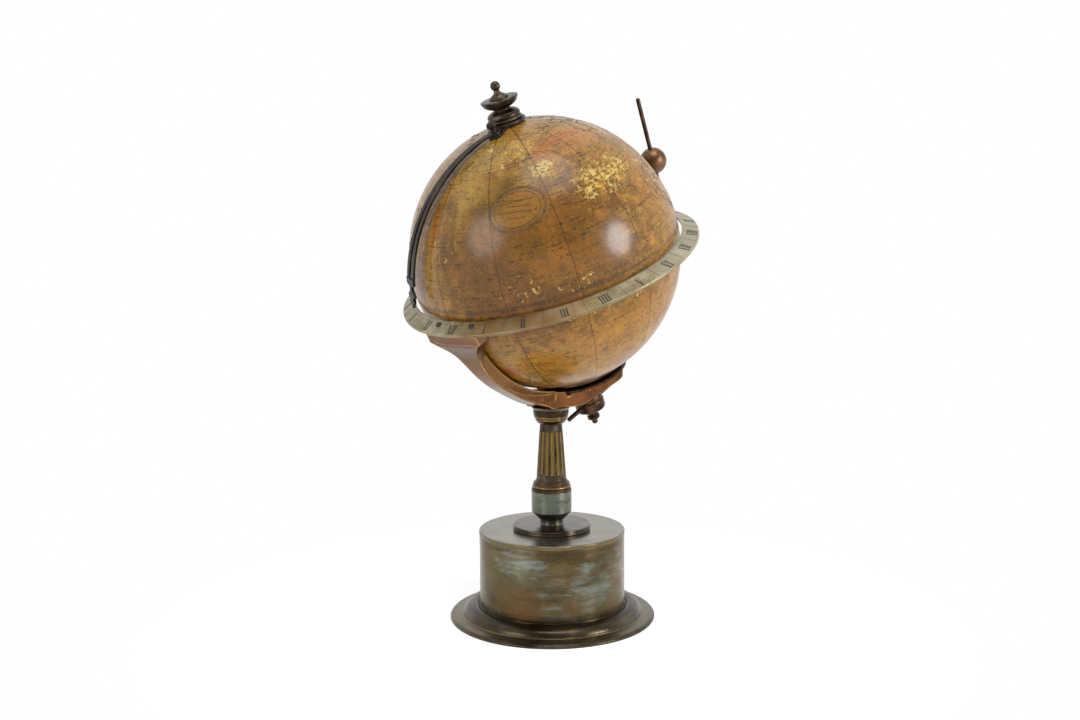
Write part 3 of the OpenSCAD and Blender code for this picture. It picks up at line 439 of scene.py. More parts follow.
def drum_clouds(place, tone, grain):
    """Long level smears of grey-blue bloom and warm brown on the drum's wall, with grey-blue painted
    highlights where the lamps reflect.
    """
    tree = place.id_data
    smeared = put(tree, "Mapping", Vector=place, Scale=(1, 1, 5.5)).outputs[0]
    bloom = noise(smeared, 42.0, 7, 0.68, 0.5)
    warm = noise(place, 30.0, 5, 0.6, 0.3)
    tone = mix(step(warm, 0.49, 0.66, 0.0, 0.6), tone, "6a4a26")
    streak = step(bloom, 0.4, 0.62, 0.1, 1.0)
    bloom = times(step(bloom, 0.46, 0.7), step(noise(place, 23.0, 3), 0.44, 0.56))
    tone = lay(tone, bloom, 0.6, "84928c")
    for middle, wide, high, cloud_tone, share in DRUM_CLOUDS:
        x, y, z = Vector(middle) * MM
        scales = {"Location": (0, 0, -FINE_UP * z), "Scale": (FINE, FINE, FINE_UP)}
        close = put(tree, "Mapping", Vector=place, **scales).outputs[0]
        east = Vector((-y, x, 0)).normalized() / (FINE * wide * MM)
        north = (0, 0, 1 / (FINE_UP * high * MM))
        mask = use(tree, SPOT, Place=close, Middle=(x, y, 0), East=east, North=north, Ragged=0.8)["Mask"]
        tone = mix(times(mask, times(streak, share)), tone, cloud_tone)
    return tone


# Heights below the globe's middle, along its axis, between which the casting changes its tone
FLANGE_LOW = (-28 * MM, -9 * MM)
ARM_LOW, ARM_TOP = (-70 * MM, -55 * MM), (-30 * MM, -18 * MM)
TRAY_TOP = (-78 * MM, -62 * MM)


def rosy_flange(place, tone, grain):
    """The casting turns from copper at the tray to a dull pink under the ring."""
    h = parts_of(polar_place(place.id_data))["Z"]
    high = step(h, *FLANGE_LOW)
    tone = lay(tone, high, 0.6, mottle(grain, "7e5f4e", "9a7c69"))
    arm = between(h, ARM_LOW, ARM_TOP)
    tone = lay(tone, arm, 0.45, mottle(grain, "7c5730", "a27a4a"))
    low = step(h, *TRAY_TOP, 1.0, 0.0)
    return lay(tone, low, 0.4, mottle(grain, "553016", "86582a"))


def give(material, *nodes):
    """Dresses nodes of the clock in a material."""
    for name in nodes:
        mesh = NODES[name].data
        mesh.materials.clear()
        mesh.materials.append(material)


# Painted light on the foot: its dark band at 8.2 mm is painted shade in the groove where the drum meets it,
# and its light band at 2.9 mm is a painted highlight along the brim's inner corner
foot_bronze = metal(
    "foot_bronze", "2b2418", "453b2a", "665b49", patch="57564c", speck="6a4224", size=0.034,
    rough=(0.18, 0.32), stretch=2.0, brushed=0.4, worn="8a7b56", wear_and_glint_share=0.5, corner=0.0005,
    bands=[(0.0082, 0.0012, "1d170e", 0.7), (0.0029, 0.0008, "7a6c48", 0.5)],
)
# Painted shade on the drum: its dark band at 10.5 mm darkens the wall's foot over the join with the foot
drum_bronze = metal(
    "drum_bronze", "40351d", "5c5030", "776c4e", patch="666c5e", speck="79502c", size=0.05,
    patch_share=0.35, speck_share=0.45, stretch=1.7, brushed=0.75, worn="8a7c50", wear_and_glint_share=0.5,
    line_share=0.35,
    bands=[(0.0105, 0.0024, "2c2316", 0.6), (0.047, 0.0014, "40341e", 0.5)],
    more=drum_clouds,
)
lid_bronze = metal(
    "lid_bronze", "6f6a60", "88837a", "a39e94", patch="84867c", speck="6f5f48", size=0.03,
    rough=(0.14, 0.26), pitch=0.0006, patch_share=0.35, speck_share=0.2, worn="8f7f4c",
    bands=[(0.0497, 0.0022, "6a5d38", 0.9)],
)
# The socle's pale corners are partly wear, partly painted highlight
socle_bronze = metal(
    "socle_bronze", "2c241b", "463c30", "6b6154", patch="4c4a42", speck="5c4028", size=0.015,
    rough=(0.14, 0.26), patch_share=0.35, worn="b0a080",
)
# Painted shade on the collar: its brown band darkens the recessed neck between socle and collar
collar_bronze = metal(
    "collar_bronze", "55584b", "6b6f61", "868c7d", patch="75857a", speck="7c6240", size=0.014,
    patch_share=0.45, speck_share=0.2, stretch=3.0, brushed=0.7, worn="9c9878", line_share=0.5,
    bands=[(0.0578, 0.0046, "40352a", 0.85)],
)
column_bronze = metal(
    "column_bronze", "261e14", "41362a", "665742", patch="4c4842", speck="5f4024", size=0.012,
    rough=(0.24, 0.38), worn="8e6f44", wear_and_glint_share=0.5, corner=0.00025,
    more=flute_and_bead_highlights,
)
capital_bronze = metal(
    "capital_bronze", "241a10", "3a2a1b", "564638", patch="443c34", speck="6a3f22", size=0.012,
    rough=(0.22, 0.36), worn="8a6c42", wear_and_glint_share=0.45, corner=0.00025,
    bands=[
        (0.1157, 0.0005, "b08c4c", 0.85),
        (0.1171, 0.0005, "b08c4c", 0.85),
        (0.122, 0.0008, "8f8576", 0.7),
    ],
)
# The casting's bright orange corners are partly wear, partly painted highlight
casting_copper = metal(
    "casting_copper", "3a2010", "5e3a1c", "8e5c30", patch="6a4230", speck="3a2216", size=0.022,
    turned="", rough=(0.16, 0.3), speck_share=0.4, worn="dfa860", wear_and_glint_share=0.95, corner=0.0014,
    more=rosy_flange,
)
ring_brass = metal(
    "ring_brass", "776b4c", "988d6c", "bcb294", patch="777660", speck="6a4c26", size=0.018,
    turned="globe", pitch=0.0005, rough=(0.26, 0.4), patch_share=0.45, speck_share=0.5, worn="c6bd98",
    corner=0.0005,
    more=ring_tones,
)
dark_bronze = metal(
    "dark_bronze", "231a14", "40301f", "6b4a33", patch="4a342a", speck="7c4f2e", turned="globe",
    speck_share=0.3, worn="86684a", wear_and_glint_share=0.5, corner=0.0003,
)
hand_bronze = metal(
    "hand_bronze", "1f1b18", "332d28", "4d453d", patch="2b2724", speck="5c4430", size=0.012, turned="",
    rough=(0.28, 0.44), patch_share=0.5, speck_share=0.25, worn="7d7466", wear_and_glint_share=0.5,
    corner=0.00025,
)
movement_brass = metal(
    "movement_brass", "a9832e", "c9a244", "e0c274", patch="b08c3c", speck="7d5f22", size=0.012,
    turned="", rough=(0.2, 0.34), patch_share=0.3, speck_share=0.25, bump=0.06, worn="f0dca0",
    corner=0.0002,
)
movement_steel = metal(
    "movement_steel", "70726f", "9a9b98", "c0c1bd", patch="84837c", speck="5d4a38", turned="",
    rough=(0.2, 0.34), patch_share=0.3, speck_share=0.2, bump=0.06, worn="dcdcd8", corner=0.0002,
)
blued_steel = metal(
    "blued_steel", "1e2a48", "2f4270", "4d6394", patch="3b3f66", speck="5a4a3a", turned="",
    rough=(0.2, 0.32), patch_share=0.3, speck_share=0.2, bump=0.05, worn="7c8cb4", corner=0.0002,
)
finial_bronze = metal(
    "finial_bronze", "2a241c", "43392d", "685846", patch="494136", speck="6e4c30", turned="globe",
    speck_share=0.3, worn="80694c", wear_and_glint_share=0.5, corner=0.0003,
)
marker_bronze = metal(
    "marker_bronze", "463122", "664832", "8c6a4c", patch="56402f", speck="7c4f2e", turned="globe",
    rough=(0.22, 0.36), speck_share=0.3, worn="86684a", wear_and_glint_share=0.4, corner=0.0003,
)
screw_steel = metal(
    "screw_steel", "2f3030", "4a4c4c", "686b6c", patch="4c4a46", speck="5d4a38", size=0.006, turned="",
    rough=(0.26, 0.4), patch_share=0.3, speck_share=0.2, bump=0.06, worn="8c8e8e", corner=0.0002,
)

give(foot_bronze, "foot", "bottom_cover")
give(drum_bronze, "drum_shell")
give(lid_bronze, "drum_lid")
give(socle_bronze, "socle")
give(collar_bronze, "collar")
give(column_bronze, "column_shaft", "column_tube", "tube_nut")
give(capital_bronze, "capital")
give(casting_copper, "cradle")
give(ring_brass, "hour_ring")
give(dark_bronze, "south_dish", "globe_wheel", "south_knob", "knob_nut", "tommy_bar", "pole_bush")
give(dark_bronze, "marker_clip", "marker_post")
give(finial_bronze, "finial_bun", "finial_urn", "finial_cap")
give(marker_bronze, "marker_ball")
give(screw_steel, "ring_screws")
give(hand_bronze, "hand_plate", "hour_hand", "thumb_screw")
give(movement_brass, "shaft_bushes", "north_collar", "balance", "balance_cock", "barrel")
give(movement_brass, "centre_wheel", "third_wheel", "fourth_wheel", "escape_wheel")
give(movement_brass, "lower_plate", "upper_plate", "plate_pillars", "hanging_posts")
give(movement_steel, "globe_axle", "centre_arbor", "drive_pinion", "lever", "winding_arbor", "ratchet_wheel")
give(movement_steel, "click", "clutch_spring")
give(blued_steel, "cover_screws", "plate_screws", "hairspring", "mainspring", "click_spring")


# The globe's paper

# Coasts listed as degrees east and north
LANDS = {
    "north_america": [
        (-168, 66), (-162, 70), (-156, 71), (-141, 70), (-128, 70), (-115, 68), (-108, 68), (-96, 68),
        (-94, 72), (-88, 68), (-82, 67), (-87, 64), (-94, 60), (-92, 57), (-82, 55), (-80, 52), (-79, 55),
        (-77, 58), (-78, 62), (-70, 61), (-65, 59), (-62, 57), (-56, 53), (-60, 50), (-66, 50), (-70, 47),
        (-65, 49), (-61, 46), (-66, 44), (-70, 43), (-71, 41), (-74, 40), (-76, 37), (-76, 35), (-81, 31),
        (-80, 27), (-82, 27), (-84, 30), (-90, 29), (-97, 28), (-97, 22), (-94, 18), (-91, 19), (-90, 21),
        (-87, 21), (-88, 16), (-84, 15), (-83, 10), (-80, 9), (-83, 8), (-88, 13), (-95, 16), (-105, 20),
        (-106, 23), (-112, 29), (-114, 31), (-110, 24), (-112, 26), (-117, 33), (-121, 35), (-124, 40),
        (-124, 46), (-123, 49), (-128, 51), (-131, 55), (-137, 58), (-144, 60), (-151, 60), (-156, 57),
        (-163, 55), (-157, 59), (-165, 61), (-161, 65),
    ],
    "south_america": [
        (-80, 9), (-76, 9), (-72, 12), (-62, 10), (-52, 5), (-50, 0), (-44, -3), (-35, -6), (-39, -14),
        (-41, -22), (-48, -26), (-53, -34), (-58, -35), (-57, -38), (-62, -39), (-65, -43), (-67, -47),
        (-69, -52), (-66, -55), (-73, -53), (-75, -47), (-73, -38), (-71, -30), (-70, -18), (-76, -14),
        (-81, -6), (-80, 0), (-77, 4), (-78, 8),
    ],
    "greenland": [
        (-45, 60), (-52, 65), (-54, 70), (-60, 76), (-70, 77), (-62, 82), (-35, 83), (-20, 81), (-20, 74),
        (-27, 70), (-38, 66),
    ],
    "eurasia": [
        (-9, 37), (-9, 43), (-1, 43), (-4, 48), (2, 51), (8, 54), (9, 57), (11, 54), (20, 55), (24, 58),
        (29, 60), (22, 61), (25, 65), (21, 64), (17, 60), (14, 55), (12, 58), (7, 58), (5, 62), (14, 68),
        (25, 71), (40, 67), (34, 65), (44, 66), (46, 68), (60, 69), (68, 69), (73, 72), (82, 73), (100, 77),
        (113, 74), (128, 72), (140, 73), (160, 70), (178, 69), (190, 66), (180, 63), (170, 60), (163, 58),
        (157, 51), (156, 57), (163, 62), (155, 59), (143, 59), (136, 54), (141, 52), (139, 47), (131, 43),
        (127, 39), (129, 36), (126, 35), (125, 39), (121, 39), (118, 39), (122, 37), (120, 34), (122, 30),
        (117, 24), (110, 21), (106, 20), (109, 12), (105, 9), (101, 13), (100, 10), (104, 2), (100, 6),
        (98, 15), (94, 17), (91, 22), (86, 20), (80, 14), (77, 8), (73, 17), (72, 21), (67, 25), (57, 26),
        (51, 29), (48, 30), (51, 25), (57, 24), (59, 22), (52, 16), (44, 13), (39, 21), (35, 28), (34, 31),
        (36, 36), (30, 36), (27, 38), (31, 41), (41, 41), (37, 45), (39, 47), (34, 45), (31, 46), (28, 43),
        (26, 40), (23, 37), (20, 40), (14, 45), (12, 44), (18, 40), (16, 38), (12, 42), (9, 44), (3, 43),
        (0, 39), (-5, 36),
    ],
    "africa": [
        (-6, 36), (10, 37), (11, 33), (20, 31), (32, 31), (34, 27), (37, 21), (43, 12), (51, 12), (48, 5),
        (41, -2), (39, -7), (41, -15), (35, -20), (33, -26), (28, -33), (19, -34), (15, -27), (12, -17),
        (13, -8), (9, -1), (9, 4), (4, 6), (-8, 4), (-13, 9), (-17, 15), (-16, 21), (-10, 30),
    ],
    "australia": [
        (114, -22), (122, -18), (129, -15), (132, -12), (136, -12), (136, -15), (140, -17), (142, -11),
        (146, -19), (153, -26), (151, -34), (147, -38), (140, -38), (136, -34), (131, -31), (123, -34),
        (116, -35), (115, -30),
    ],
    "japan": [
        (130, 32), (131, 34), (136, 36), (139, 38), (140, 41), (142, 45), (145, 43), (142, 39), (140, 35),
        (135, 34),
    ],
    "britain": [(-5, 50), (1, 51), (0, 54), (-2, 57), (-5, 58), (-5, 55), (-3, 53), (-5, 52)],
    "ireland": [(-10, 52), (-6, 52), (-6, 55), (-9, 54)],
    "iceland": [(-22, 64), (-14, 65), (-16, 66), (-23, 66)],
    "madagascar": [(44, -25), (47, -25), (50, -15), (44, -17)],
    "new_guinea": [(131, -1), (141, -3), (147, -6), (150, -10), (143, -9), (138, -8), (133, -4)],
    "borneo": [(109, 1), (117, 7), (119, 5), (116, -4), (110, -3)],
    "sumatra": [(95, 6), (104, -2), (106, -6), (101, -3)],
    "luzon": [(120, 18), (122, 18), (124, 12), (121, 13)],
    "new_zealand": [(173, -35), (178, -38), (174, -42), (167, -46), (171, -43), (174, -39)],
    "cuba": [(-85, 22), (-80, 23), (-74, 20), (-78, 20)],
    "baffin": [(-78, 64), (-65, 62), (-62, 66), (-72, 71), (-85, 73), (-88, 71), (-76, 67)],
    "victoria": [(-117, 69), (-105, 69), (-102, 73), (-117, 73)],
    "tasmania": [(145, -41), (148, -41), (147, -43)],
    "ceylon": [(80, 9), (82, 7), (80, 6)],
    "formosa": [(120, 23), (122, 25), (121, 22)],
    "hawaii": [(-156, 20), (-155, 19.5), (-156, 19)],
}
# Hand-coloured countries: west, east, south and north edges in degrees, and a tone
TINTS = [
    (-170, 190, -60, 84, "a87c42"),
    (-141, -52, 49, 84, "b48a66"),
    (-170, -141, 52, 72, "b0903f"),
    (-125, -66, 30, 49, "a38251"),
    (-118, -80, 8, 30, "a8743c"),
    (-75, -34, -34, 6, "94824a"),
    (-82, -66, -56, 12, "ab823f"),
    (-60, -15, 59, 84, "a38c5a"),
    (30, 190, 50, 78, "948046"),
    (73, 135, 21, 50, "ac8844"),
    (67, 92, 7, 28, "a0694a"),
    (-10, 30, 36, 71, "9a7246"),
    (-18, 35, 5, 37, "a8834a"),
    (10, 52, -35, 5, "96794a"),
    (112, 154, -44, -10, "a4684a"),
    (128, 146, 30, 46, "aa723c"),
    (33, 60, 12, 40, "9a7f4a"),
]
# How far the map is turned about the pole, in degrees, and how high paper and ink lie on the globe
MAP_TURN = 24
PAPER_LIFT, INK_LIFT = 0.05 * MM, 0.06 * MM
# The heights over the globe's middle where the paper ends, at the north and at the south
PAPER_TOP, PAPER_LOW = 75.97 * MM, -73.57 * MM
# How far the close rules run off the shores, in degrees
SHORE_WIDE = 2.2


def on_globe(east, north):
    """A point of the map's ink in the frame of the whole clock."""
    return POLAR @ (towards(east + MAP_TURN, north) * (GLOBE_R + INK_LIFT))


def broken_coast(points, rounds=3):
    """A closed coast made restless by moving the middle of each stretch."""
    for turn in range(rounds):
        fresh = []
        for (x0, y0), (x1, y1) in zip(points, points[1:] + points[:1]):
            shove = 0.22 * math.sin(12.9898 * (x0 + x1) + 78.233 * (y0 + y1) + turn)
            fresh += [(x0, y0), ((x0 + x1) / 2 - shove * (y1 - y0), (y0 + y1) / 2 + shove * (x1 - x0))]
        points = fresh
    return points


COASTS = [broken_coast(points) for points in LANDS.values()]


def on_land(east, north):
    """True where a point of the map lies on land, for whole rows of points at once."""
    inside = np.zeros(east.shape, bool)
    for points in COASTS:
        for turn in (0, 360):
            lon = east + turn
            hit = np.zeros(east.shape, bool)
            for (x0, y0), (x1, y1) in zip(points, points[1:] + points[:1]):
                if y0 != y1:
                    across = (y0 > north) != (y1 > north)
                    hit ^= across & (lon < (x1 - x0) * (north - y0) / (y1 - y0) + x0)
            inside |= hit
    return inside


def map_layers(mesh):
    """Keeps land, shore and hand colouring as attributes of the map's points."""
    co = np.zeros(len(mesh.vertices) * 3, np.float32)
    mesh.vertices.foreach_get("co", co)
    co = co.reshape(-1, 3).astype(float)
    east = (np.degrees(np.arctan2(co[:, 1], co[:, 0])) - MAP_TURN + 180) % 360 - 180
    north = np.degrees(np.arcsin(np.clip(co[:, 2] / np.linalg.norm(co, axis=1), -1, 1)))
    land = on_land(east, north).astype(float)
    narrow = np.maximum(np.cos(np.radians(north)), 0.2)
    ways = [(SHORE_WIDE * math.cos(k), SHORE_WIDE * math.sin(k)) for k in range(7)]
    shore = sum(on_land(east + dx / narrow, north + dy) / len(ways) for dx, dy in ways)
    tint = np.tile(np.array(colour("a8783c")), (len(land), 1))
    for west, last, south, top, tone in TINTS:
        for turn in (0, 360):
            lon = east + turn
            tint[(land > 0) & (lon > west) & (lon < last) & (north > south) & (north < top)] = colour(tone)
    marks = np.stack([land, shore, np.zeros(len(land)), np.ones(len(land))], 1)
    for name, values in (("tint", tint), ("marks", marks)):
        layer = mesh.color_attributes.new(name=name, type="FLOAT_COLOR", domain="POINT")
        layer.data.foreach_set("color", values.astype(np.float32).ravel())


def paper_gores(material):
    """The pasted and varnished map, open at both poles."""
    bm = bmesh.new()
    bmesh.ops.create_uvsphere(bm, u_segments=360, v_segments=180, radius=GLOBE_R + PAPER_LIFT)
    for h, facing in ((PAPER_TOP, 1), (PAPER_LOW, -1)):
        bmesh.ops.bisect_plane(
            bm, geom=bm.verts[:] + bm.edges[:] + bm.faces[:], plane_co=(0, 0, h), plane_no=(0, 0, facing),
            clear_outer=True,
        )
    piece = piece_of("map_gores", bm, material, smooth=True)
    map_layers(piece.data)
    piece.data.transform(POLAR)
    return piece


# Where the varnish has flaked to bare paper: turn, rise and half sizes in degrees, and the noise past which
# it is gone
FLAKED = [
    (-148, 6, 9, 6, 0.6),
    (-128, 4, 12, 5, 0.61),
    (-94, 37, 15, 8, 0.5),
    (-122, 50, 5, 4, 0.47),
    (-112, -9, 22, 5, 0.6),
    (-140, 62, 12, 8, 0.56),
    (-60, 26, 14, 10, 0.58),
    (60, 10, 40, 20, 0.62),
    (150, 30, 30, 20, 0.62),
]
# Old colouring and stains, broad washes, and painted shade and reflection where marked: turn, rise and half
# sizes in degrees, tone, share and raggedness
MAP_SPOTS = [
    (-171, -33, 6, 4, "c04a28", 0.75, 0.6),
    (-166, -20, 7, 3, "5f6a34", 0.5, 0.8),
    (-137, -50, 14, 5, "c8ae80", 0.5, 0.7),
    # A broad pale wash over the globe's lower right part
    (-115, -32, 62, 22, "c69650", 0.5, 0.8),
    (-150, 46, 26, 8, "8a7a3c", 0.45, 0.8),
    # Painted shade: a broad dark spot over the middle of the globe as the camera sees it
    (-140, 16, 44, 32, "644012", 0.75, 0.8),
    (50, 5, 50, 30, "7a4c1a", 0.5, 0.7),
    # Painted reflection: a pale haze over the globe's top, of the white surroundings in the varnish
    (-105, 74, 60, 14, "c4a472", 0.55, 0.6),
    (-98, 60, 16, 6, "c46a4c", 0.5, 0.6),
    (-92, 56, 17, 5.5, "b98d6b", 0.75, 0.5),
    (-84, 40, 7, 4.5, "9d8250", 0.7, 0.6),
    (-144, 67, 5, 5, "b5963f", 0.6, 0.6),
    (180, 31, 5, 17, "5c3f1e", 0.6, 0.35),
    (171, 35, 2.5, 9, "a5612a", 0.7, 0.6),
    (-142, 37, 13, 8.4, "a37a40", 0.7, 0.06),
    (-128, 12, 16, 9, "a27338", 0.4, 0.9),
    (-100, -14, 20, 10, "a97c42", 0.4, 0.9),
    (-152, 5, 12, 12, "7c5024", 0.4, 0.9),
    (-70, 12, 12, 16, "a97e40", 0.4, 0.9),
    (30, 20, 20, 14, "6c5a30", 0.4, 0.9),
    (100, -10, 24, 12, "a5702e", 0.4, 0.9),
    (60, 50, 12, 7, "b08a62", 0.5, 0.6),
    (130, 40, 9, 6, "9d8250", 0.5, 0.6),
]
# Washes over the map: the noise's scale, detail, roughness and distortion, its soft step, share and tone
SEA_WASHES = [
    (9.0, 6, 0.65, 0.5, 0.42, 0.66, 0.5, "916524"),
    (3.6, 5, 0.6, 0.8, 0.5, 0.7, 0.45, "86763a"),
]
PAPER_WASHES = [
    (22.0, 5, 0.7, 0.0, 0.48, 0.7, 0.5, "573818"),
    (34.0, 4, 0.7, 0.4, 0.5, 0.62, 0.5, "c8aa70"),
    (60.0, 4, 0.65, 0.0, 0.48, 0.76, 0.4, "4c3214"),
]
VARNISH_WASHES = [
    (5.2, 6, 0.68, 0.7, 0.5, 0.64, 0.35, "a96f20"),
    (7.1, 6, 0.62, 0.4, 0.48, 0.66, 0.38, "57481e"),
    (15.0, 8, 0.75, 0.3, 0.5, 0.64, 0.3, "503412"),
    (75.0, 2, 0.5, 0.0, 0.63, 0.69, 0.7, "2c1a0c"),
]


def washed(unit, tone, washes):
    """A tone under further washes, each over its own noise."""
    for scale, detail, rough, distort, low, high, share, wash in washes:
        cover = noise(unit, scale, detail, rough, distort)
        tone = mix(step(cover, low, high, 0.0, share), tone, wash)
    return tone


def map_spot(unit, turn, rise, wide, high, ragged):
    """The mask of an oval spot on the globe, from its direction and its half sizes in degrees."""
    middle = towards(turn, rise)
    east = towards(turn + 90, 0) / math.radians(wide)
    north = towards(turn, rise + 90) / math.radians(high)
    return use(unit.id_data, SPOT, Place=unit, Middle=middle, East=east, North=north, Ragged=ragged)["Mask"]


def aged_paper(unit, land, tint, fine):
    """The map's tone, from its first colouring to flakes and stains in the varnish and spots of painted shade
    and reflection.
    """
    sea = mix(step(noise(unit, 2.6, 6, 0.6, 0.6), 0.35, 0.65), "8f6622", "ba8c3c")
    sea = washed(unit, sea, SEA_WASHES)
    tinted = mix(step(fine, 0.3, 0.7, 0.35, 0.6), sea, tint)
    tone = mix(step(land, 0.3, 0.7), sea, tinted)
    tone = washed(unit, tone, PAPER_WASHES)
    for *oval, spot_tone, share, ragged in MAP_SPOTS:
        uneven = step(fine, 0.2, 0.6, share * 0.75, share)
        tone = mix(times(map_spot(unit, *oval, ragged), uneven), tone, spot_tone)
    leaf = noise(unit, 27.0, 5, 0.6, 0.8)
    for *oval, gone in FLAKED:
        flake = times(map_spot(unit, *oval, 0.8), step(leaf, gone, gone + 0.05))
        tone = lay(tone, flake, 0.85, "ead9aa")
    tone = washed(unit, tone, VARNISH_WASHES)
    return mix(1.0, tone, "f2e2a0", "MULTIPLY")


# Degrees between meridians or parallels, between the edges of the gores, and between the rules off the shores
NET, GORE, SHORE_RULE = 10, 30, 0.9
# How far the edges of the gores are turned from the map's round meridians, in degrees
GORE_TURN = 6
# The rows, words and letters of print too small to read, in degrees, and the shares of them left blank
ROW, WORD, LETTER = 1.7, 5.5, 0.42
BLANK_WORDS, BLANK_LETTERS = 0.64, 0.35


def ruled(value, gap, width, narrow=1.0):
    """Soft lines at every gap of a value in degrees, where narrow is how short a degree is."""
    away = times(calc("PINGPONG", value, gap / 2), narrow)
    return step(away, width * 0.35, width, 1.0, 0.0)


def gore_seams(unit, turn, narrow):
    """The edges of the gores, a little uneven and broken."""
    shaken = times(minus(noise(unit, 14.0, 3), 0.5), 0.9)
    seam = ruled(plus(plus(turn, shaken), 180 + GORE_TURN), GORE, 0.3, narrow)
    return times(seam, step(noise(unit, 8.0, 4, 0.7), 0.34, 0.52, 0.35, 1.0))


def shore_rules(north, land, shore):
    """Close level rules in the sea along the shores."""
    near = times(step(shore, 0.02, 0.3), step(land, 0.2, 0.5, 1.0, 0.0))
    return times(near, ruled(plus(north, 90), SHORE_RULE, 0.3))


def chance(run, length, row):
    """A chance of its own for each cell of a length along a row."""
    tree = run.id_data
    cell = put(tree, "CombineXYZ", X=calc("FLOOR", over(run, length)), Y=row).outputs[0]
    return put(tree, "TexWhiteNoise", {"noise_dimensions": "2D"}, Vector=cell).outputs[0]


def small_print(run, north, fine):
    """Rows of fine strokes where the print is too small to read."""
    rows = over(north, ROW)
    row = calc("FLOOR", rows)
    word = calc("GREATER_THAN", chance(run, WORD, row), BLANK_WORDS)
    letter = calc("GREATER_THAN", chance(run, LETTER, row), BLANK_LETTERS)
    off_middle = calc("ABSOLUTE", minus(calc("FRACT", rows), 0.5))
    height = step(minus(1.0, off_middle), 0.78, 0.86)
    strokes = times(times(word, letter), height)
    return times(strokes, step(fine, 0.35, 0.55))


def strokes_along(run, north, along, up, rough, low, high):
    """Short strokes of a noise with its own scales along the print and up it."""
    place = put(run.id_data, "CombineXYZ", X=times(run, along), Y=times(north, up)).outputs[0]
    return step(noise(place, 1.0, 3, rough, dims="2D"), low, high)


def printed_lines(turn, north, narrow, land, shore, fine):
    """All lines of the print and the cracks across them, each with its share, as one mask."""
    run = times(turn, narrow)
    meridians = ruled(plus(turn, 180 - MAP_TURN), NET, 0.22, narrow)
    parallels = ruled(plus(north, 90), NET, 0.22)
    equator = ruled(plus(north, 180), 180, 0.8)
    finer_print = strokes_along(run, north, 0.45, 2.6, 0.65, 0.6, 0.68)
    cracks = strokes_along(run, north, 2.4, 0.16, 0.6, 0.64, 0.74)
    marks = (
        (meridians, 0.16), (parallels, 0.16), (equator, 0.5), (shore_rules(north, land, shore), 0.5),
        (small_print(run, north, fine), 0.8), (finer_print, 0.6), (cracks, 0.3),
    )
    lines = 0.0
    for mask, share in marks:
        lines = larger(lines, times(mask, share))
    return lines


def paper_material():
    """The varnished map: old paper, print, the edges of the gores and their relief."""
    material, tree, shader = new_material("varnished_map")
    unit = vector("NORMALIZE", polar_place(tree))[0]
    turn = around(unit)
    z = parts_of(unit)["Z"]
    north = calc("DEGREES", calc("ARCSINE", z))
    # How short a degree about the pole is beside one on the equator
    narrow = calc("SQRT", larger(minus(1.0, times(z, z)), 0.001))
    marks = put(tree, "Attribute", {"attribute_name": "marks"}).outputs["Color"]
    land, shore = list(put(tree, "SeparateColor", Color=marks).outputs)[:2]
    tint = put(tree, "Attribute", {"attribute_name": "tint"}).outputs["Color"]
    fine = noise(unit, 60.0, 4, 0.65)
    blotch = noise(unit, 9.0, 6, 0.65, 0.5)
    tone = aged_paper(unit, land, tint, fine)
    worn = step(noise(unit, 5.0, 5, 0.7), 0.3, 0.55, 0.35, 1.0)
    lines = printed_lines(turn, north, narrow, land, shore, fine)
    tone = lay(tone, lines, worn, "2a1d10")
    seam = gore_seams(unit, turn, narrow)
    tone = lay(tone, seam, 0.85, "3f2812")
    relief = plus(times(fine, 0.5), times(seam, -0.6))
    rough = step(blotch, 0.3, 0.7, 0.42, 0.54)
    dress(tree, shader, tone, rough, Strength=0.12, Distance=0.0003, Height=relief)
    varnish = {"IOR": 1.5, "Specular IOR Level": 0.15, "Coat Weight": 0.6, "Coat Roughness": 0.2}
    for name, value in varnish.items():
        shader.inputs[name].default_value = value
    return material


gores = paper_gores(paper_material())
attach(gores, "globe")

board = metal(
    "pasted_board", "8f7245", "b3925c", "c9ad7a", patch="a08050", speck="7a5a34", size=0.03, turned="",
    metallic=0.0, rough=(0.6, 0.8), bump=0.2, patch_share=0.5,
)
give(board, "globe_north", "globe_south", "joining_hoop")


def ink_material(name, tone, worn_tone, rough=0.6):
    """A dark ink or filling with slight wear."""
    material, tree, shader = new_material(name)
    worn = noise(put(tree, "TexCoord").outputs["Object"], 250.0, 4, 0.6)
    tone = mix(step(worn, 0.35, 0.7), tone, worn_tone)
    roughness = step(worn, 0.3, 0.7, rough, rough + 0.15)
    dress(tree, shader, tone, roughness, Strength=0.1, Distance=0.00005, Height=worn)
    return material


def keep(name, bm, material, body, smooth=False):
    """A new piece from its bmesh, riding on its body."""
    piece = piece_of(name, bm, material, smooth)
    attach(piece, body)
    return piece


def drawn(name, lines, width, material, body):
    """Ink lines as fine threads that lie half in the paper."""
    data = bpy.data.curves.new(name, "CURVE")
    data.dimensions = "3D"
    data.bevel_depth = width / 2
    data.bevel_resolution = 0
    for points, closed in lines:
        line = data.splines.new("POLY")
        line.points.add(len(points) - 1)
        line.use_cyclic_u = closed
        for spot, point in zip(line.points, points):
            spot.co = (*point, 1)
    shape = placed(name, data)
    bpy.context.view_layer.update()
    mesh = bpy.data.meshes.new_from_object(shape.evaluated_get(bpy.context.evaluated_depsgraph_get()))
    bpy.data.objects.remove(shape)
    bm = bmesh.new()
    bm.from_mesh(mesh)
    bmesh.ops.remove_doubles(bm, verts=bm.verts[:], dist=1e-7)
    bmesh.ops.recalc_face_normals(bm, faces=bm.faces[:])
    bpy.data.meshes.remove(mesh)
    keep(name, bm, material, body)


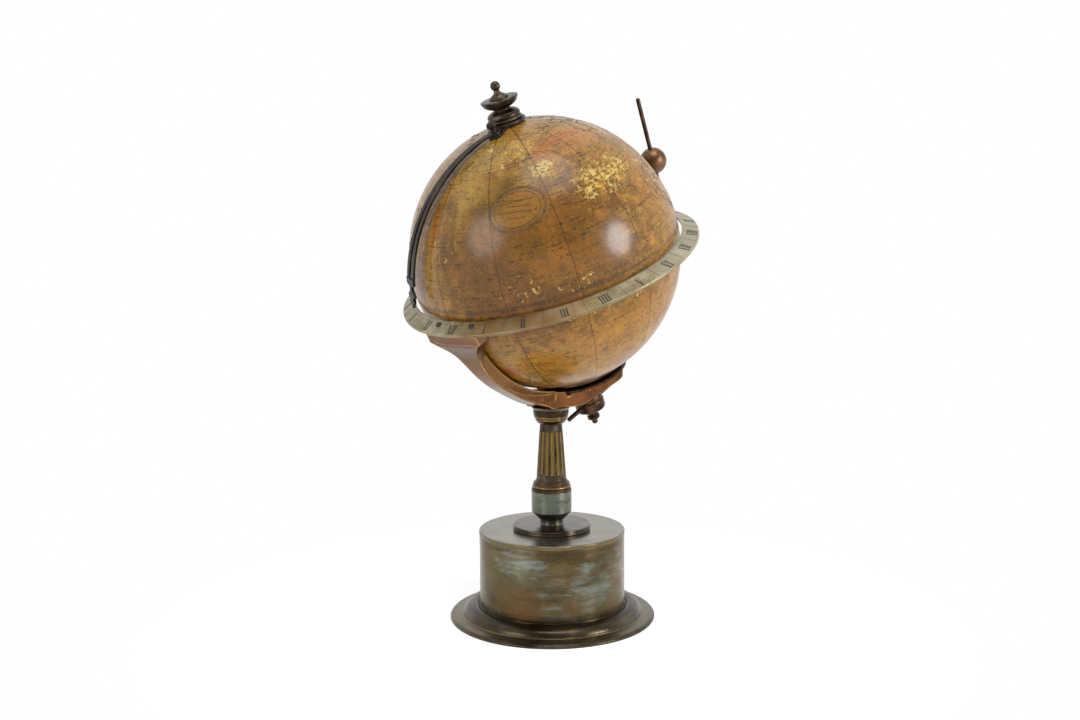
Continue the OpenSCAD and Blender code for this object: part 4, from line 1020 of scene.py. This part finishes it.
# The oval panel in degrees of the map: its middle, and the ways from there to its side and to its top
OVAL_MIDDLE = Vector((-142.1 - MAP_TURN, 36.9))
OVAL_SIDE, OVAL_TOP = Vector((13.8, -1.5)), Vector((3.85, 8.65))
# The sizes of its ruled ovals, and the height and length of each rule inside, all as shares
OVAL_SIZES = (1.0, 0.93, 0.8)
OVAL_RULES = ((-0.39, 0.5), (-0.13, 0.95), (0.13, 0.6), (0.39, 0.8))


def oval_frame():
    """The oval panel of the print, ruled ovals with plain rules inside."""

    def spot(side, top):
        """A point at shares of the ways to the side and to the top."""
        place = OVAL_MIDDLE + OVAL_SIDE * side + OVAL_TOP * top
        return on_globe(place.x, place.y)

    turns = np.linspace(0, math.tau, 97)[:-1]
    lines = [([spot(size * math.cos(t), size * math.sin(t)) for t in turns], True) for size in OVAL_SIZES]
    for top, share in OVAL_RULES:
        half = 0.72 * math.sqrt(1 - (top / 0.8) ** 2) * share
        lines.append(([spot(half * (k / 12 - 1), top) for k in range(25)], False))
    return lines


map_ink = ink_material("map_ink", "3a2a18", "55493c")
coasts = [([on_globe(east, north) for east, north in points], True) for points in COASTS]
drawn("printed_coasts", coasts, 0.22 * MM, map_ink, "globe")
drawn("oval_panel", oval_frame(), 0.32 * MM, map_ink, "globe")


# The finial


def turned_piece(name, profile, material, body, slot, *nodes):
    """A solid turning about the globe's axis, from its outline of radius and height in millimetres."""
    bm = bmesh.new()
    verts = [bm.verts.new((r * MM, 0, h * MM)) for r, h in profile]
    outline = [bm.edges.new(pair) for pair in zip(verts, verts[1:])]
    bmesh.ops.spin(
        bm, geom=verts + outline, axis=(0, 0, 1), cent=(0, 0, 0), angle=math.tau, steps=72, use_merge=True,
    )
    bmesh.ops.remove_doubles(bm, verts=bm.verts[:], dist=1e-6)
    bmesh.ops.recalc_face_normals(bm, faces=bm.faces[:])
    bmesh.ops.transform(bm, matrix=POLAR, verts=bm.verts[:])
    piece = keep(name, bm, material, body, smooth=True)
    piece.data.set_sharp_from_angle(angle=math.radians(38))
    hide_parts(*nodes)


def rounded(*points, rounds=3):
    """An outline with its corners worn off, end points kept."""
    for _ in range(rounds):
        cut = [points[0]]
        for (a, b), (c, d) in zip(points, points[1:]):
            cut += [(a * 0.75 + c * 0.25, b * 0.75 + d * 0.25), (a * 0.25 + c * 0.75, b * 0.25 + d * 0.75)]
        points = cut + [points[-1]]
    return points


# Where the finial begins over the globe's middle, and its outlines over that, all in millimetres
FINIAL_LOW = 78.1
BALL_R, BALL_H = 2.65, 18.98
BUN = [
    (0, 0), (8.7, 0), *rounded((8.7, 0), (9.5, 0.4), (9.5, 1.4), (8.7, 1.9)),
    (8.5, 2.0), *rounded((8.9, 2.1), (9.2, 3.0), (8.6, 4.6), (6.6, 5.7), (5.2, 6.0)), (0, 6.0),
]
URN = [
    (0, 6.0), (4.7, 6.0), (4.7, 6.5), (4.1, 6.9), *rounded((4.2, 7.0), (6.6, 7.6), (9.2, 9.2), (10.1, 11.2)),
    *rounded((10.1, 11.2), (10.4, 11.6), (10.4, 12.2), (9.7, 12.4)), (0, 12.4),
]
BALL = [(BALL_R * math.cos(t), BALL_H + BALL_R * math.sin(t)) for t in np.linspace(-0.9, math.pi / 2, 14)]
CAP = [
    (0, 12.4), (5.3, 12.4), (5.3, 13.1), (4.7, 13.3),
    *rounded((4.6, 13.4), (3.4, 14.4), (1.9, 15.2), (1.5, 16.8)), *BALL[:-1], (0, BALL[-1][1]),
]

for part, outline in (("bun", BUN), ("urn", URN), ("cap", CAP)):
    raised = [(r, h + FINIAL_LOW) for r, h in outline]
    turned_piece("turned_" + part, raised, finial_bronze, "globe", "dark_bronze", "finial_" + part)


# The hour ring's figures

# The ring's face: inner and outer radius, height of its inner edge over the globe's middle, and its fall
RING_IN, RING_OUT, RING_H, RING_FALL = 77.8 * MM, 86.5 * MM, -4 * MM, 3.8 * MM
RING_WIDE = RING_OUT - RING_IN
RING_SLANT = math.hypot(RING_WIDE, RING_FALL)
# How high the cuts lie on the face
CUT_LIFT = 0.03 * MM
FIGURES = ["XII", "I", "II", "III", "IIII", "V", "VI", "VII", "VIII", "IX", "X", "XI"] * 2
# The figures' half height and the distance of their middle from the inner edge, in millimetres
FIGURE_HALF, FIGURE_AWAY = 2.8, 5.6
# The width of a letter, and its cuts as start, end and thickness, with its foot at -1 and its top at 1
LETTERS = {
    "I": (1.5, [((0, -1), (0, 1), 0.82)]),
    "V": (3.0, [((-1.0, 1), (0, -1), 0.8), ((1.0, 1), (0, -1), 0.3)]),
    "X": (3.1, [((-1.05, 1), (1.05, -1), 0.8), ((1.05, 1), (-1.05, -1), 0.3)]),
}


def ring_place(turn, away):
    """The frame on the ring's face: x along the ring, y towards the globe, z off the face."""
    share = away / RING_SLANT
    flat, steep = RING_WIDE / RING_SLANT, RING_FALL / RING_SLANT
    slope = Matrix((
        (0, -flat, steep, RING_IN + share * RING_WIDE),
        (1, 0, 0, 0),
        (0, steep, flat, RING_H - share * RING_FALL),
        (0, 0, 0, 1),
    ))
    return POLAR @ Matrix.Rotation(math.radians(turn), 4, "Z") @ slope @ Matrix.Translation((0, 0, CUT_LIFT))


def stroke(bm, place, start, end, width):
    """One cut of the graver, from start to end on the ring's face, in millimetres."""
    (x0, y0), (x1, y1) = start, end
    length = math.hypot(x1 - x0, y1 - y0)
    bmesh.ops.create_grid(
        bm, x_segments=1, y_segments=1, size=0.5,
        matrix=place @ Matrix.Translation(((x0 + x1) / 2 * MM, (y0 + y1) / 2 * MM, 0))
        @ Matrix.Rotation(math.atan2(y1 - y0, x1 - x0), 4, "Z")
        @ Matrix.Diagonal((length * MM, width * MM, 1, 1)),
    )


def engrave_figure(bm, place, figure):
    """One hour in Roman letters between its two fine rules."""
    width = sum(LETTERS[letter][0] for letter in figure)
    x = -width / 2
    for letter in figure:
        wide, cuts = LETTERS[letter]
        x += wide / 2
        for (x0, y0), (x1, y1), thick in cuts:
            stroke(bm, place, (x + x0, y0 * FIGURE_HALF), (x + x1, y1 * FIGURE_HALF), thick)
        x += wide / 2
    for y in (-FIGURE_HALF, FIGURE_HALF):
        stroke(bm, place, (-width / 2 + 0.12, y), (width / 2 - 0.12, y), 0.22)


def engrave_ring():
    """Twice twelve hours, with a short mark at each hour and quarter and a long one at each half."""
    bm = bmesh.new()
    for i, figure in enumerate(FIGURES):
        turn = 180 + 15 * i
        engrave_figure(bm, ring_place(turn, FIGURE_AWAY * MM), figure)
        stroke(bm, ring_place(turn, 0), (0, -0.1), (0, -2.3), 0.2)
        for quarter in (-3.75, 3.75):
            stroke(bm, ring_place(turn + quarter, 0), (0, -0.1), (0, -2.3), 0.16)
        stroke(bm, ring_place(turn + 7.5, 0), (0, -0.1), (0, -RING_SLANT / MM + 0.1), 0.24)
    return bm


ring_ink = ink_material("graver_black", "17140f", "3c3a36", rough=0.5)
keep("ring_figures", engrave_ring(), ring_ink, "stand")


# Stage, light and camera

# The floor's shade about the foot ends between these distances, and past them the floor is plain white
FLOOR_SHADE = (0.07, 0.24)
WHITE = (1, 1, 1, 1)
# The level direction towards the open side of the room, from which the picture is taken
OPEN_SIDE = (-0.748, -0.664, 0)


def mix_shaders(share, a, b):
    """Two shaders by a share."""
    node = put(tree_of(share), "MixShader")
    for socket, value in zip(node.inputs, (share, a, b)):
        wire(socket, value)
    return node.outputs[0]


def floor_material():
    """A pale floor that the camera sees fade into a white backdrop."""
    material, tree, shader = new_material("pale_floor")
    shader.inputs["Base Color"].default_value = colour("f4f4f3")
    shader.inputs["Roughness"].default_value = 0.9
    rays = put(tree, "LightPath").outputs
    seen = larger(rays["Is Camera Ray"], rays["Is Glossy Ray"])
    away, _ = radius_of(put(tree, "TexCoord").outputs["Object"])
    lit = put(tree, "AddShader")
    glow = put(tree, "Emission", Color=WHITE, Strength=0.55)
    for socket, part in zip(lit.inputs, (shader, glow)):
        wire(socket, part.outputs[0])
    white = put(tree, "Emission", Color=WHITE, Strength=1.0)
    shown = mix_shaders(step(away, *FLOOR_SHADE), lit.outputs[0], white.outputs[0])
    shown = mix_shaders(seen, shader.outputs[0], shown)
    wire(tree.nodes["Material Output"].inputs[0], shown)
    return material


def stage_floor():
    """A flat floor, wider than the picture."""
    bm = bmesh.new()
    bmesh.ops.create_grid(bm, x_segments=1, y_segments=1, size=6.0)
    floor = piece_of("floor", bm, floor_material())


def studio_world():
    """White behind the clock and in reflections, dimmer as light and from the room's open side."""
    world = bpy.data.worlds.new("studio")
    bpy.context.scene.world = world
    world.use_nodes = True
    tree = world.node_tree
    rays = put(tree, "LightPath").outputs
    facing = vector("DOT_PRODUCT", put(tree, "TexCoord").outputs["Generated"], OPEN_SIDE)["Value"]
    reflected = step(facing, -0.1, 0.75, 1.0, 0.32)
    strength = larger(times(rays["Is Glossy Ray"], reflected), 0.4)
    strength = larger(strength, larger(rays["Is Camera Ray"], rays["Is Transmission Ray"]))
    back = tree.nodes["Background"]
    wire(back.inputs["Strength"], strength)
    wire(back.inputs["Color"], WHITE)


def lamp(name, direction, away, size, power):
    """A round lamp seen from the globe's middle: its distance and size in metres, its power in watts."""
    data = bpy.data.lights.new(name, "AREA")
    data.shape = "DISK"
    data.size = size
    data.energy = power
    light = placed(name, data)
    direction = Vector(direction).normalized()
    light.location = CENTRE + direction * away
    light.rotation_euler = (-direction).to_track_quat("-Z", "Y").to_euler()


# The camera: its turn about the clock, how far it looks aside, its rise and its roll, in degrees
EYE_TURN, EYE_ASIDE, EYE_RISE, EYE_ROLL = -48.4, 0.53, -5.82, -0.49
# Its distance from the column's axis and its height
EYE_AWAY, EYE_HIGH = 0.65, 0.2159
# Its focal length and the picture's width in pixels, and the sensor's width in millimetres
FOCAL, PICTURE_WIDE, SENSOR = 1140.4, 1080, 36


def camera():
    """The place from which the photograph was taken."""
    look = towards(EYE_TURN + EYE_ASIDE + 90, EYE_RISE)
    level = look.to_track_quat("-Z", "Y").to_matrix()
    data = bpy.data.cameras.new("camera")
    data.sensor_width = SENSOR
    data.lens = FOCAL * SENSOR / PICTURE_WIDE
    data.clip_start = 0.01
    eye = placed("camera", data)
    place = (level @ Matrix.Rotation(math.radians(EYE_ROLL), 3, "Z")).to_4x4()
    place.translation = towards(EYE_TURN - 90, 0) * EYE_AWAY + Vector((0, 0, EYE_HIGH))
    eye.matrix_world = place
    bpy.context.scene.camera = eye


stage_floor()
studio_world()
lamp("right_window", (0.223, -0.959, 0.175), 1.1, 0.42, 6.8)
lamp("left_window", (-0.967, 0.12, 0.225), 1.1, 0.6, 3.6)
lamp("top_window", (-0.25, -0.3, 0.9), 1.3, 0.9, 7)
camera()
bpy.context.scene.view_settings.view_transform = "Standard"
